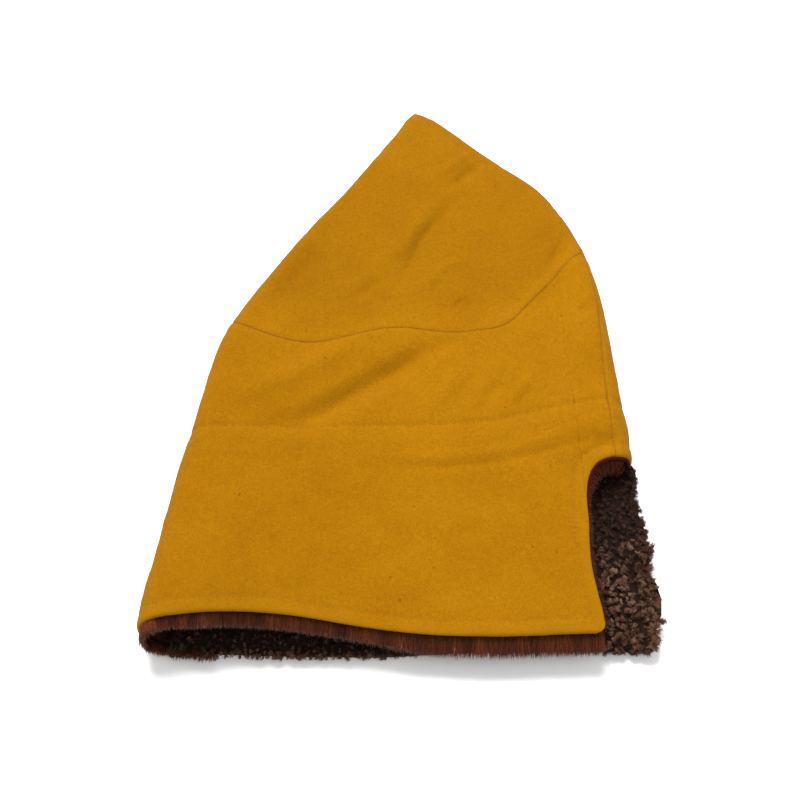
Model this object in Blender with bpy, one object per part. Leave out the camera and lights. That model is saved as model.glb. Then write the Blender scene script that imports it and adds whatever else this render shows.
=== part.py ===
"""Pointed yellow woollen hat with a fur-lined skirt, lying pressed flat on its left side.

Metres, +Z up. The hem faces -Y, the tip points to +Y, and the wearer's brow is at +X.
The four cloth panels meet at a front seam, a back seam and a crown seam. A fur lining fills
the skirt from the hem up, and a round-topped notch is cut at the brow.
"""

import math
import random

import bmesh
import bpy
import numpy as np

# Whole hat, as it lies
HAT_LENGTH = 0.450
HAT_WIDTH = 0.328
HAT_RISE = 0.044
HEM_LIFT = 0.012
HEM_DROP = 0.004

# Walls and clearances
CLOTH = 0.0020
SEAM_GAP = 0.0004
LINING_GAP = 0.0004

# Fur lining
LINING_HEIGHT = 0.146
LINING_FRONT_RISE = 0.022
PILE = 0.0075
TUFT_DEPTH = 0.0022
FRINGE = 0.0065
PROUD_PILE = 0.0030

# How unlike the fur's locks and hollows are, and how deep their tips lie, as shares of the pile
FUR_SHARES = {
    "short_lock": 0.72,
    "short_spread": 0.85,
    "locks": (0.85, 1.00),
    "hollows": (0.70, 1.00),
    "tips": (0.25, 0.75),
}

# Notch at the brow
NOTCH_HEIGHT = 0.124
NOTCH_WIDTH = 0.048
NOTCH_ARCH = 0.048
NOTCH_FROM_FOLD = 0.011
NOTCH_LEAN = 0.006
CORNER_RADIUS = 0.004
FLAP_EDGE_RISE = 0.005
EDGE_CLEARANCE = 0.0016
FLAP_OVERHANG = 0.0155
BINDING_RADIUS = 0.0012
BINDING_TURN = 130

# Where the fur stops covering the flap's edge: top and fade are shares of the notch's arch,
# and taper is how much less of it there is at the notch's top than at the hem
COVER = {"top": 0.35, "fade": 0.30, "taper": 0.35}

# Folds that the cloth has taken
FOLD_HEIGHT = 0.0040
FOLD_WIDTH = 0.0120

# The most of a section's width that one side's fold may take, and of a fold that its wall may
FOLD_SHARE = 0.45
WALL_SHARE = 0.60

# The hem's swells and the lining's rise: place and reach are shares of the way round the hat,
# and for the lining's rise of the way from the front seam to the back seam
SWELLS = {
    "hem_lift": {"height": HEM_LIFT, "place": 0.36, "reach": 0.12},
    "hem_drop": {"height": -HEM_DROP, "place": 0.57, "reach": 0.07},
    "front_rise": {"height": LINING_FRONT_RISE, "place": 0.00, "reach": 0.22},
}

# Columns round half a section, and rows along each band of cloth
TURN_COLUMNS = 3
FLAT_COLUMNS = 17
FOLD_COLUMNS = 10
HALF_COLUMNS = TURN_COLUMNS + FLAT_COLUMNS + FOLD_COLUMNS
ALL_COLUMNS = 2 * HALF_COLUMNS
LINED_ROWS = 9
UNLINED_ROWS = 6
CROWN_ROWS = 15

# Steps along the parts of the notch's outline and along its binding
CORNER_STEPS = 4
LEG_STEPS = 6
ARCH_STEPS = 16
BINDING_STEPS = 20

# A row for each section. along is a share of HAT_LENGTH, left and right are shares of
# HAT_WIDTH, the rises are shares of HAT_RISE, and seam is the front seam's height on the fold.
SECTIONS = {
    "along": (0.00, 0.05, 0.12, 0.20, 0.30, 0.40, 0.50, 0.60, 0.70, 0.80, 0.90, 0.97, 1.00),
    "left": (-0.506, -0.504, -0.488, -0.472, -0.449, -0.423, -0.390, -0.316, -0.231,
             -0.137, -0.050, 0.002, 0.020),
    "right": (0.486, 0.486, 0.483, 0.479, 0.475, 0.469, 0.460, 0.444, 0.403,
              0.328, 0.186, 0.092, 0.045),
    "rise_left": (1.00, 0.98, 0.94, 0.90, 0.84, 0.80, 0.76, 0.68, 0.60, 0.50, 0.36, 0.24, 0.19),
    "rise_middle": (0.66, 0.67, 0.70, 0.74, 0.80, 0.80, 0.78, 0.70, 0.60, 0.50, 0.36, 0.24, 0.19),
    "rise_right": (0.67, 0.68, 0.71, 0.74, 0.78, 0.78, 0.75, 0.66, 0.56, 0.46, 0.34, 0.24, 0.19),
    "seam": (0.85, 0.85, 0.85, 0.85, 0.85, 0.80, 0.64, 0.52, 0.38, 0.20, 0.06, 0.00, 0.00),
}

# The crown seam: round is a share of the way from the front seam to the back seam.
CROWN_SEAM = {
    "round": (0.00, 0.06, 0.13, 0.22, 0.31, 0.50, 0.70, 0.84, 1.00),
    "along": (0.665, 0.630, 0.570, 0.515, 0.494, 0.500, 0.474, 0.502, 0.550),
}

# A row for each fold: where it starts and ends, as shares of HAT_WIDTH and HAT_LENGTH, its
# height as a share of FOLD_HEIGHT, negative for a valley, and its width as one of FOLD_WIDTH.
FOLD_FIELDS = ("across_from", "along_from", "across_to", "along_to", "height", "width")
FOLDS = (
    (0.16, 0.85, 0.04, 0.69, -0.50, 0.80),
    (0.04, 0.69, -0.12, 0.57, -0.50, 0.90),
    (0.16, 0.65, -0.06, 0.52, -0.45, 0.70),
    (0.01, 0.485, -0.15, 0.42, 0.90, 1.00),
    (-0.15, 0.42, -0.34, 0.38, 0.60, 1.10),
    (0.15, 0.487, 0.01, 0.44, -0.70, 0.80),
    (0.01, 0.44, -0.17, 0.36, -1.00, 0.85),
    (0.30, 0.45, 0.22, 0.35, 0.45, 0.80),
    (0.38, 0.325, 0.14, 0.268, 0.40, 0.70),
    (0.12, 0.57, 0.12, 0.56, -0.60, 0.90),
)

# Colours, as linear red, green and blue, and how rough each surface is
CLOTH_YELLOW = (0.520, 0.219, 0.004)
FUR_BROWN = (0.056, 0.024, 0.013)
BINDING_MAROON = (0.102, 0.002, 0.006)
CLOTH_ROUGHNESS = 0.92
FUR_ROUGHNESS = 0.85
BINDING_ROUGHNESS = 0.80
SHARP_ANGLE = 50


def clear_scene():
    for obj in list(bpy.data.objects):
        bpy.data.objects.remove(obj, do_unlink=True)


def new_collection(name):
    collection = bpy.data.collections.new(name)
    bpy.context.scene.collection.children.link(collection)
    return collection


def matte_material(name, colour, roughness):
    material = bpy.data.materials.new(name)
    material.use_nodes = True
    shader = material.node_tree.nodes["Principled BSDF"]
    shader.inputs["Base Color"].default_value = (*colour, 1.0)
    shader.inputs["Roughness"].default_value = roughness
    shader.inputs["Metallic"].default_value = 0.0
    return material


def mesh_object(name, bm, collection, material=None):
    """Object made of the bmesh, with its faces pointing out."""
    bmesh.ops.recalc_face_normals(bm, faces=bm.faces)
    mesh = bpy.data.meshes.new(name)
    bm.to_mesh(mesh)
    bm.free()
    mesh.shade_smooth()
    mesh.set_sharp_from_angle(angle=math.radians(SHARP_ANGLE))
    obj = bpy.data.objects.new(name, mesh)
    collection.objects.link(obj)
    if material:
        mesh.materials.append(material)
    return obj


def on_curve(place, places, values):
    """Value at a place on the smooth curve through a table's rows."""
    places = np.asarray(places)
    values = np.asarray(values)
    place = min(max(place, places[0]), places[-1])
    slopes = np.gradient(values, places)
    i = min(int(np.searchsorted(places, place, side="right")) - 1, len(places) - 2)
    span = places[i + 1] - places[i]
    s = (place - places[i]) / span
    start = (1 + 2 * s) * (1 - s) ** 2 * values[i] + s * (1 - s) ** 2 * span * slopes[i]
    end = s * s * (3 - 2 * s) * values[i + 1] - s * s * (1 - s) * span * slopes[i + 1]
    return float(start + end)


def eased(low, high, share):
    """From low to high, level at both ends."""
    return low + (high - low) * 0.5 * (1 - math.cos(math.pi * share))


def section(along):
    """Sizes of the flattened loop at a share of the hat's length."""
    shares = {name: on_curve(along, SECTIONS["along"], SECTIONS[name]) for name in SECTIONS}
    sizes = {"left": shares["left"] * HAT_WIDTH, "right": shares["right"] * HAT_WIDTH}
    for name in ("rise_left", "rise_middle", "rise_right"):
        sizes[name] = shares[name] * HAT_RISE
    widest_fold = FOLD_SHARE * (sizes["right"] - sizes["left"])
    sizes["fold_left"] = min(0.5 * sizes["rise_left"], widest_fold)
    sizes["fold_right"] = min(0.5 * sizes["rise_right"], widest_fold)
    sizes["seam_angle"] = math.radians(90) * max(shares["seam"], 0.0)
    return sizes


def fold_lift(x, y):
    """How far the folds raise or lower the upper side there."""
    lift = 0.0
    for row in FOLDS:
        fold = dict(zip(FOLD_FIELDS, row))
        start = np.array((fold["across_from"] * HAT_WIDTH, fold["along_from"] * HAT_LENGTH))
        end = np.array((fold["across_to"] * HAT_WIDTH, fold["along_to"] * HAT_LENGTH))
        run = end - start
        share = np.clip(np.dot(np.array((x, y)) - start, run) / np.dot(run, run), 0, 1)
        away = np.linalg.norm(np.array((x, y)) - start - share * run)
        reach = away / (fold["width"] * FOLD_WIDTH)
        lift += fold["height"] * FOLD_HEIGHT * math.exp(-reach * reach)
    return lift


def fold_point(sizes, side, angle, depth):
    """Point on the left or right fold: angle 90 is its top, 0 its outermost, -90 its foot."""
    reach = sizes["fold_" + side]
    half_rise = 0.5 * sizes["rise_" + side]
    outward = 1 if side == "right" else -1
    depth = min(depth, WALL_SHARE * reach)
    x = sizes[side] - outward * reach + outward * (reach - depth) * math.cos(angle)
    return x, half_rise + (half_rise - depth) * math.sin(angle)


def upper_point(sizes, share, depth):
    """Point on the upper side, from the right fold's top (0) to the left fold's top (1)."""
    start = sizes["right"] - sizes["fold_right"]
    end = sizes["left"] + sizes["fold_left"]
    if share < 0.5:
        rise = eased(sizes["rise_right"], sizes["rise_middle"], 2 * share)
    else:
        rise = eased(sizes["rise_middle"], sizes["rise_left"], 2 * share - 1)
    return start + (end - start) * share, rise - depth


def under_point(sizes, share, depth):
    """Point on the flat underside, from the left fold's foot (0) to the right one's (1)."""
    start = sizes["left"] + sizes["fold_left"]
    end = sizes["right"] - sizes["fold_right"]
    return start + (end - start) * share, depth


def smooth_point(along, column, depth):
    """Point of the loop in this column, counted from the front seam over the upper side."""
    sizes = section(along)
    seam = sizes["seam_angle"]
    top = math.radians(90)
    column %= ALL_COLUMNS
    step = column % HALF_COLUMNS
    upper_half = column < HALF_COLUMNS
    if step < TURN_COLUMNS:
        angle = seam + (top - seam) * step / TURN_COLUMNS
        side, angle = ("right", angle) if upper_half else ("left", -angle)
        x, z = fold_point(sizes, side, angle, depth)
    elif step <= TURN_COLUMNS + FLAT_COLUMNS:
        share = (step - TURN_COLUMNS) / FLAT_COLUMNS
        x, z = (upper_point if upper_half else under_point)(sizes, share, depth)
        angle = top if upper_half else -top
    else:
        angle = top - (top + seam) * (step - TURN_COLUMNS - FLAT_COLUMNS) / FOLD_COLUMNS
        side, angle = ("left", angle) if upper_half else ("right", -angle)
        x, z = fold_point(sizes, side, angle, depth)
    y = along * HAT_LENGTH
    return np.array((x, y, z + fold_lift(x, y) * max(math.sin(angle), 0.0)))


def loop_point(along, column, depth=0.0):
    """Like smooth_point, with each seam on the straight chord between its neighbours.

    The faces on both sides of a seam then lie in one plane, so the panels' edges are parallel.
    """
    if column % HALF_COLUMNS:
        return smooth_point(along, column, depth)
    seam = section(along)["seam_angle"]
    before = (math.radians(90) + seam) / FOLD_COLUMNS
    after = (math.radians(90) - seam) / TURN_COLUMNS
    share = before / (before + after)
    first = smooth_point(along, column - 1, depth)
    second = smooth_point(along, column + 1, depth)
    return first + (second - first) * share


def round_shares():
    """Share of the way from the front seam to the back seam, for each column."""
    middle = [loop_point(0.5, column) for column in range(HALF_COLUMNS + 1)]
    lengths = [np.linalg.norm(b - a) for a, b in zip(middle, middle[1:])]
    return np.concatenate([[0.0], np.cumsum(lengths)]) / sum(lengths)


ROUND = round_shares()


def round_share(column):
    """That share for any column: both halves of the hat are cut alike from the front seam."""
    column %= ALL_COLUMNS
    return float(ROUND[column] if column <= HALF_COLUMNS else ROUND[ALL_COLUMNS - column])


def swell(name, place):
    """Height of a smooth hump there: it dies away within its reach."""
    hump = SWELLS[name]
    return hump["height"] * math.exp(-(((place - hump["place"]) / hump["reach"]) ** 2))


def hem_along(column):
    """The cloth's hem. It is drawn back where the upper side stands highest, at the left."""
    column %= ALL_COLUMNS
    half = 0.5 * round_share(column)
    place = half if column <= HALF_COLUMNS else 1 - half
    return (swell("hem_lift", place) + swell("hem_drop", place)) / HAT_LENGTH


def lining_along(column):
    """The lining's upper edge, which rises towards the brow."""
    return (LINING_HEIGHT + swell("front_rise", round_share(column))) / HAT_LENGTH


def crown_along(column):
    """The crown seam."""
    return on_curve(round_share(column), CROWN_SEAM["round"], CROWN_SEAM["along"])


def steps_between(low, high, count):
    return [low + (high - low) * i / count for i in range(count + 1)]


def lined_rows(column):
    return steps_between(hem_along(column), lining_along(column), LINED_ROWS)


def skirt_rows(column):
    top = crown_along(column) - 0.5 * SEAM_GAP / HAT_LENGTH
    return lined_rows(column) + steps_between(lining_along(column), top, UNLINED_ROWS)[1:]


def crown_rows(column):
    """Rows from the crown seam to the tip, closer together where the tip closes."""
    bottom = crown_along(column) + 0.5 * SEAM_GAP / HAT_LENGTH
    shares = [math.sin(math.radians(90) * i / CROWN_ROWS) for i in range(CROWN_ROWS + 1)]
    return [bottom + (1 - bottom) * (0.5 * s + 0.5 * i / CROWN_ROWS) for i, s in enumerate(shares)]


def panel_grid(rows_of, first_column, depth):
    """Points of half a section from seam to seam, drawn back from each seam by half its gap."""
    columns = range(first_column, first_column + HALF_COLUMNS + 1)
    rows = list(zip(*(rows_of(column) for column in columns)))
    grid = []
    for row in rows:
        points = [loop_point(along, column, depth) for along, column in zip(row, columns)]
        for end, inner in ((0, 1), (-1, -2)):
            inward = points[inner] - points[end]
            points[end] = points[end] + inward * (0.5 * SEAM_GAP / np.linalg.norm(inward))
        grid.append(points)
    return grid


def grid_bmesh(grid, closed_rows=False, closed_columns=False):
    """Faces through a grid of points, joined end to end where asked.

    The second half of a closed grid is the wall's other face, which runs back. Its squares are
    split the other way, so that walls which follow each other stay the same distance apart.
    """
    bm = bmesh.new()
    verts = [[bm.verts.new(point) for point in row] for row in grid]
    count, width = len(verts), len(verts[0])
    for i in range(count if closed_rows else count - 1):
        for j in range(width if closed_columns else width - 1):
            k, m = (i + 1) % count, (j + 1) % width
            a, b, c, d = verts[i][j], verts[i][m], verts[k][m], verts[k][j]
            if closed_rows and i >= count // 2:
                a, b, c, d = b, c, d, a
            bm.faces.new((a, b, c))
            bm.faces.new((a, c, d))
    return bm


def cloth_panel(name, rows_of, first_column, collection, material):
    """One panel of woollen cloth, lofted through its outer and its inner face."""
    outer = panel_grid(rows_of, first_column, 0.0)
    inner = panel_grid(rows_of, first_column, CLOTH)
    bm = grid_bmesh(outer + inner[::-1], closed_rows=True)
    bm.verts.ensure_lookup_table()
    rows, width = len(outer), HALF_COLUMNS + 1
    for edge in (0, HALF_COLUMNS):
        for i in range(rows - 1):
            outside = [bm.verts[k * width + edge] for k in (i, i + 1)]
            inside = [bm.verts[(2 * rows - 1 - k) * width + edge] for k in (i + 1, i)]
            bm.faces.new(outside + inside)
    return mesh_object(name, bm, collection, material)


def cut_with(obj, cutter):
    cut = obj.modifiers.new("notch", "BOOLEAN")
    cut.operation = "DIFFERENCE"
    cut.solver = "EXACT"
    cut.object = cutter


def notch_sizes():
    """Where the notch's arch and legs stand."""
    right = section(NOTCH_HEIGHT / HAT_LENGTH)["right"]
    return {"middle": right - NOTCH_FROM_FOLD, "arch_foot": NOTCH_HEIGHT - NOTCH_ARCH}


def notch_outline(inset):
    """Plan of the notch, seen from above: a leaning leg, an arch, and open past the fold."""
    sizes = notch_sizes()
    half = 0.5 * NOTCH_WIDTH - inset
    leg = sizes["middle"] - half
    foot = leg + NOTCH_LEAN
    radius = CORNER_RADIUS
    outline = [(foot - radius, -HAT_RISE)]
    for i in range(CORNER_STEPS + 1):
        turn = math.radians(90) * i / CORNER_STEPS
        outline.append((foot - radius + radius * math.sin(turn), radius - radius * math.cos(turn)))
    for i in range(1, LEG_STEPS + 1):
        share = i / LEG_STEPS
        x = foot + (leg - foot) * math.sin(math.radians(90) * share)
        outline.append((x, radius + (sizes["arch_foot"] - radius) * share))
    for i in range(1, ARCH_STEPS + 1):
        turn = math.pi * (1 - i / ARCH_STEPS)
        rise = (NOTCH_ARCH - inset) * math.sin(turn)
        outline.append((sizes["middle"] + half * math.cos(turn), sizes["arch_foot"] + rise))
    beyond = sizes["middle"] + half + HAT_RISE
    return outline + [(beyond, sizes["arch_foot"]), (beyond, -HAT_RISE)]


def notch_cutter(name, inset, foot, collection):
    """Upright block with the notch's plan, from its foot to well above the hat."""
    bm = bmesh.new()
    face = bm.faces.new([bm.verts.new((x, y, foot)) for x, y in notch_outline(inset)])
    raised = bmesh.ops.extrude_face_region(bm, geom=[face])["geom"]
    verts = [item for item in raised if isinstance(item, bmesh.types.BMVert)]
    bmesh.ops.translate(bm, vec=(0, 0, 2 * HAT_RISE), verts=verts)
    cutter = mesh_object(name, bm, collection)
    cutter.hide_render = True
    cutter.display_type = "WIRE"
    return cutter


def flap_pile_top():
    """Height of the pile that lies on the lower layer, beside the notch."""
    return CLOTH + LINING_GAP + PILE + 0.5 * TUFT_DEPTH


def over_flap_edge(point, share):
    """The point, moved out over the lower layer's free edge where it lies beside the notch."""
    x, y, z = point
    sizes = notch_sizes()
    clear_of_edge = FLAP_EDGE_RISE + EDGE_CLEARANCE
    up = np.clip((z - clear_of_edge) / (flap_pile_top() - clear_of_edge), 0, 1)
    below_arch = NOTCH_HEIGHT - COVER["top"] * NOTCH_ARCH
    down = np.clip((below_arch - y) / (COVER["fade"] * NOTCH_ARCH), 0, 1)
    spread = FLAP_OVERHANG * share * (1 - COVER["taper"] * y / NOTCH_HEIGHT)
    beside = x > sizes["middle"] and z < flap_pile_top() + CLOTH
    return np.array((x + spread * up * down * beside, y, z))


def lining_band(collection, material):
    """Closed band of fur inside the skirt, its pile in tufts and its hem in uneven locks."""
    draw = random.Random(7)
    backing = CLOTH + LINING_GAP
    columns = range(ALL_COLUMNS)
    outer, inner = [], []
    rows = list(zip(*(lined_rows(column) for column in columns)))
    sizes = [FUR_SHARES["short_lock"] if column % 2 else 1.0 for column in columns]
    locks = [FRINGE * size * draw.uniform(*FUR_SHARES["locks"]) for size in sizes]
    tips = [hem_along(column) - locks[column] / HAT_LENGTH for column in columns]
    for face, depth in zip((outer, inner), FUR_SHARES["tips"]):
        face.append([loop_point(t, c, backing + depth * PILE) for t, c in zip(tips, columns)])
    for i, row in enumerate(rows):
        spread = 1.0 if i % 2 else FUR_SHARES["short_spread"]
        skin = [loop_point(along, column, backing) for along, column in zip(row, columns)]
        outer.append([over_flap_edge(point, spread) for point in skin])
        face = []
        for along, column in zip(row, columns):
            hollow = TUFT_DEPTH * ((i + column) % 2) * draw.uniform(*FUR_SHARES["hollows"])
            face.append(loop_point(along, column, backing + PILE - hollow))
        inner.append(face)
    bm = grid_bmesh(outer + inner[::-1], closed_rows=True, closed_columns=True)
    return mesh_object("fur_lining", bm, collection, material)


def binding_path():
    """Middle line of the maroon edging: round the arch, just inside the cloth's cut edge."""
    sizes = notch_sizes()
    inset = BINDING_RADIUS + LINING_GAP
    depth = CLOTH - BINDING_RADIUS
    half = 0.5 * NOTCH_WIDTH - inset
    path = []
    for i in range(BINDING_STEPS + 1):
        turn = math.radians(180 - BINDING_TURN * i / BINDING_STEPS)
        x = sizes["middle"] + half * math.cos(turn)
        y = sizes["arch_foot"] + (NOTCH_ARCH - inset) * math.sin(turn)
        size = section(y / HAT_LENGTH)
        past = x - (size["right"] - size["fold_right"])
        if past > 0:
            angle = math.acos(min(past / (size["fold_right"] - depth), 1.0))
            x, z = fold_point(size, "right", angle, depth)
        else:
            flat = size["right"] - size["fold_right"] - size["left"] - size["fold_left"]
            x, z = upper_point(size, -past / flat, depth)
            z += fold_lift(x, y)
        path.append((x, y, z))
    return path


def notch_binding(collection, material):
    """Round edging of maroon cloth, as a tube along its path."""
    data = bpy.data.curves.new("notch_binding", "CURVE")
    data.dimensions = "3D"
    data.bevel_depth = BINDING_RADIUS
    data.bevel_resolution = 2
    data.use_fill_caps = True
    spline = data.splines.new("POLY")
    path = binding_path()
    spline.points.add(len(path) - 1)
    for point, place in zip(spline.points, path):
        point.co = (*place, 1.0)
    data.materials.append(material)
    obj = bpy.data.objects.new("notch_binding", data)
    collection.objects.link(obj)
    return obj


def centre_on_origin(parts, others):
    """Hang everything on one empty, placed so that the origin is under the hat's middle."""
    graph = bpy.context.evaluated_depsgraph_get()
    points = []
    for obj in parts:
        mesh = obj.evaluated_get(graph).to_mesh()
        points.extend(vertex.co.copy() for vertex in mesh.vertices)
        obj.evaluated_get(graph).to_mesh_clear()
    points = np.array(points)
    middle = 0.5 * (points.min(axis=0) + points.max(axis=0))
    rest = bpy.data.objects.new("hat_rest", None)
    bpy.context.scene.collection.objects.link(rest)
    rest.location = (-middle[0], -middle[1], 0.0)
    for obj in parts + others:
        obj.parent = rest


def build_hat():
    clear_scene()
    hat = new_collection("monk_hat")
    cutters = new_collection("cutters")
    yellow = matte_material("yellow_wool", CLOTH_YELLOW, CLOTH_ROUGHNESS)
    brown = matte_material("brown_fur", FUR_BROWN, FUR_ROUGHNESS)
    maroon = matte_material("maroon_cloth", BINDING_MAROON, BINDING_ROUGHNESS)

    cloth_cutter = notch_cutter("notch_in_cloth", 0.0, FLAP_EDGE_RISE, cutters)
    pile_cutter = notch_cutter("notch_in_fur", PROUD_PILE, flap_pile_top(), cutters)

    upper, under = 0, HALF_COLUMNS
    skirt_right = cloth_panel("skirt_right", skirt_rows, upper, hat, yellow)
    skirt_left = cloth_panel("skirt_left", skirt_rows, under, hat, yellow)
    crown_right = cloth_panel("crown_right", crown_rows, upper, hat, yellow)
    crown_left = cloth_panel("crown_left", crown_rows, under, hat, yellow)
    cut_with(skirt_right, cloth_cutter)
    cut_with(skirt_left, cloth_cutter)

    lining = lining_band(hat, brown)
    cut_with(lining, pile_cutter)

    binding = notch_binding(hat, maroon)
    parts = [skirt_right, skirt_left, crown_right, crown_left, lining, binding]
    centre_on_origin(parts, [cloth_cutter, pile_cutter])


build_hat()
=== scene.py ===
"""Looks of the pointed woollen hat with a fur-lined skirt, lying on its left side.

The frame gives where the hat lies. The cloth panels are lofted again through the hat's own
sections, finely enough for seams, turned edges, stitches and folds. The fur is made of
joined curled strands on a dark core, and each piece stands for the node that it covers.
Metres, +Z up: the hem faces -Y, the tip +Y and the wearer's brow +X.
"""

import math

import bpy
import numpy as np
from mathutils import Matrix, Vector


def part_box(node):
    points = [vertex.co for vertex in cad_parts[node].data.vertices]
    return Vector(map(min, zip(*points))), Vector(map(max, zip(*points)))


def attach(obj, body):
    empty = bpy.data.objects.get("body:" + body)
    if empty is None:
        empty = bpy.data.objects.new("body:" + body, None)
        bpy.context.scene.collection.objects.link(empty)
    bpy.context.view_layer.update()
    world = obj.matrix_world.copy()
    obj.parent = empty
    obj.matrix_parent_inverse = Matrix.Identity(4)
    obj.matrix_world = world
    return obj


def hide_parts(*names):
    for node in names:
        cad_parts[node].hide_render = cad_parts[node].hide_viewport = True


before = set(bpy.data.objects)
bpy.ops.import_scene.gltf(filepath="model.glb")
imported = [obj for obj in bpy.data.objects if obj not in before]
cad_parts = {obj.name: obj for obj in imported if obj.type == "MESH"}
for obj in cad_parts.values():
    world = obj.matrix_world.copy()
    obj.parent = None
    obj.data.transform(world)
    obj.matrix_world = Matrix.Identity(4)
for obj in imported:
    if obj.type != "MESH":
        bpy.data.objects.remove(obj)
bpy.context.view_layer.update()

# Whole hat, as it lies, and its walls
HAT_LENGTH = 0.450
HAT_WIDTH = 0.328
HAT_RISE = 0.044
CLOTH = 0.0020
BACKING = 0.0024
CORE_PILE = 0.0050
LINING_HEIGHT = 0.146
FLAP_EDGE_RISE = 0.005
NOTCH_SPRING = 0.076
NOTCH_ARCH = 0.048
ARCH_SQUARENESS = {"right": 3.0, "left": 4.0}
ARCH_LIFT = {"right": 0.0, "left": 0.0038}
CORNER_RADIUS = 0.006
FOLD_SHARE = 0.45
TIP_FROM = 0.975

# A row for each section. along is a share of HAT_LENGTH, left and right are shares of
# HAT_WIDTH, the rises are shares of HAT_RISE, and seam is the front seam's height on the fold.
SECTIONS = {
    "along": (0.00, 0.05, 0.12, 0.20, 0.30, 0.40, 0.50, 0.60, 0.70, 0.80, 0.90, 0.97, 1.00),
    "left": (-0.506, -0.501, -0.484, -0.467, -0.444, -0.419, -0.388, -0.316, -0.231,
             -0.137, -0.050, 0.002, 0.020),
    "right": (0.486, 0.486, 0.483, 0.479, 0.472, 0.463, 0.451, 0.438, 0.400,
              0.328, 0.186, 0.092, 0.045),
    "rise_left": (1.00, 0.98, 0.94, 0.90, 0.84, 0.80, 0.76, 0.68, 0.60, 0.50, 0.36, 0.24, 0.19),
    "rise_middle": (0.66, 0.67, 0.70, 0.74, 0.80, 0.80, 0.78, 0.70, 0.60, 0.50, 0.36, 0.24, 0.19),
    "rise_right": (0.67, 0.68, 0.71, 0.74, 0.78, 0.78, 0.75, 0.66, 0.56, 0.46, 0.34, 0.24, 0.19),
    "seam": (0.85, 0.85, 0.85, 0.85, 0.85, 0.80, 0.64, 0.52, 0.38, 0.20, 0.06, 0.00, 0.00),
}

# Where the frame holds the hat: its left fold and its tip give the shift to the row's own axes
ROW_SHIFT = np.array((
    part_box("skirt_right")[0].x - SECTIONS["left"][0] * HAT_WIDTH,
    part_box("crown_left")[1].y - HAT_LENGTH,
    0.0,
))

# The crown seam and the notch's straight leg, with round as a share of the way from the
# front seam to the back seam, and across as a share of HAT_WIDTH
CROWN_SEAM = {
    "round": (0.00, 0.06, 0.13, 0.17, 0.22, 0.31, 0.50, 0.70, 0.84, 1.00),
    "along": (0.665, 0.630, 0.579, 0.551, 0.513, 0.494, 0.500, 0.474, 0.502, 0.550),
}
LEG = {
    "along": (-0.03, 0.007, 0.038, 0.069, 0.098, 0.136, 0.173),
    "across": (0.3890, 0.3866, 0.3826, 0.3762, 0.3700, 0.3677, 0.3700),
}

# The hem's swells and the lining's rise, by their share of the way round
SWELLS = {
    "hem_lift": {"height": 0.0135, "place": 0.36, "reach": 0.12},
    "hem_corner": {"height": 0.003, "place": 0.05, "reach": 0.07},
    "hem_drop": {"height": -0.004, "place": 0.57, "reach": 0.07},
    "front_rise": {"height": 0.022, "place": 0.00, "reach": 0.22},
}

# A row for each fold of the upper side: its height in metres, negative for a valley, how far
# it reaches to each side, and its path, as shares of HAT_WIDTH and HAT_LENGTH.
FOLDS = (
    (-0.0066, 0.0084, ((0.107, 0.471), (0.050, 0.454), (0.001, 0.429), (-0.078, 0.393),
                       (-0.156, 0.353), (-0.208, 0.334), (-0.273, 0.327))),
    (0.0030, 0.0095, ((-0.050, 0.480), (-0.141, 0.451), (-0.239, 0.407), (-0.360, 0.375))),
    (0.0019, 0.0045, ((0.173, 0.895), (0.086, 0.829))),
    (-0.0026, 0.0042, ((0.186, 0.864), (0.113, 0.802))),
    (-0.0029, 0.0050, ((0.126, 0.777), (0.051, 0.690), (0.017, 0.625), (-0.012, 0.575))),
    (0.0019, 0.0065, ((0.070, 0.765), (0.008, 0.675), (-0.065, 0.612))),
    (-0.0018, 0.0052, ((-0.039, 0.602), (-0.097, 0.559))),
    (0.0021, 0.0052, ((0.144, 0.647), (0.087, 0.617), (0.042, 0.571))),
    (-0.0022, 0.0060, ((0.116, 0.559), (0.148, 0.531))),
    (-0.0034, 0.0100, ((-0.161, 0.686), (-0.240, 0.591), (-0.287, 0.519))),
    (-0.0024, 0.0048, ((0.372, 0.699), (0.331, 0.625))),
    (0.0020, 0.0048, ((0.372, 0.651), (0.317, 0.589), (0.256, 0.539))),
    (-0.0022, 0.0058, ((0.387, 0.549), (0.411, 0.531))),
    (-0.0010, 0.0055, ((0.417, 0.467), (0.420, 0.382))),
    (0.0018, 0.0042, ((0.275, 0.414), (0.215, 0.354))),
    (-0.0018, 0.0048, ((0.210, 0.407), (0.174, 0.365))),
    (0.0016, 0.0060, ((0.135, 0.423), (0.058, 0.349))),
    (0.0010, 0.0040, ((-0.072, 0.271), (0.077, 0.271), (0.179, 0.279), (0.281, 0.298),
                      (0.364, 0.322), (0.432, 0.341))),
    (-0.0008, 0.0034, ((-0.060, 0.256), (0.081, 0.255), (0.186, 0.263), (0.290, 0.280),
                       (0.370, 0.300), (0.445, 0.315))),
    (-0.0030, 0.0065, ((0.390, 0.294), (0.452, 0.308))),
    (0.0006, 0.0030, ((-0.428, 0.284), (-0.256, 0.274))),
    (-0.0012, 0.0035, ((-0.197, 0.303), (-0.202, 0.248))),
    (-0.0010, 0.0140, ((-0.388, 0.220), (-0.413, 0.135))),
)
FOLD_FADE = 0.35

# Columns of half a section: a short turn beside one seam, a flat side and a fold
TURN = 3
FLAT = 17
FOLD = 10
COLUMNS = TURN + FLAT + FOLD

# Grids: a step of the fine skin, a step beside an edge, and fine steps to one of the inner skin
SKIN_STEP = {"right": 0.0014, "left": 0.0024}
EDGE_STEP = 0.0006
EDGE_REACH = 0.006
INNER_STRIDE = 3


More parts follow.
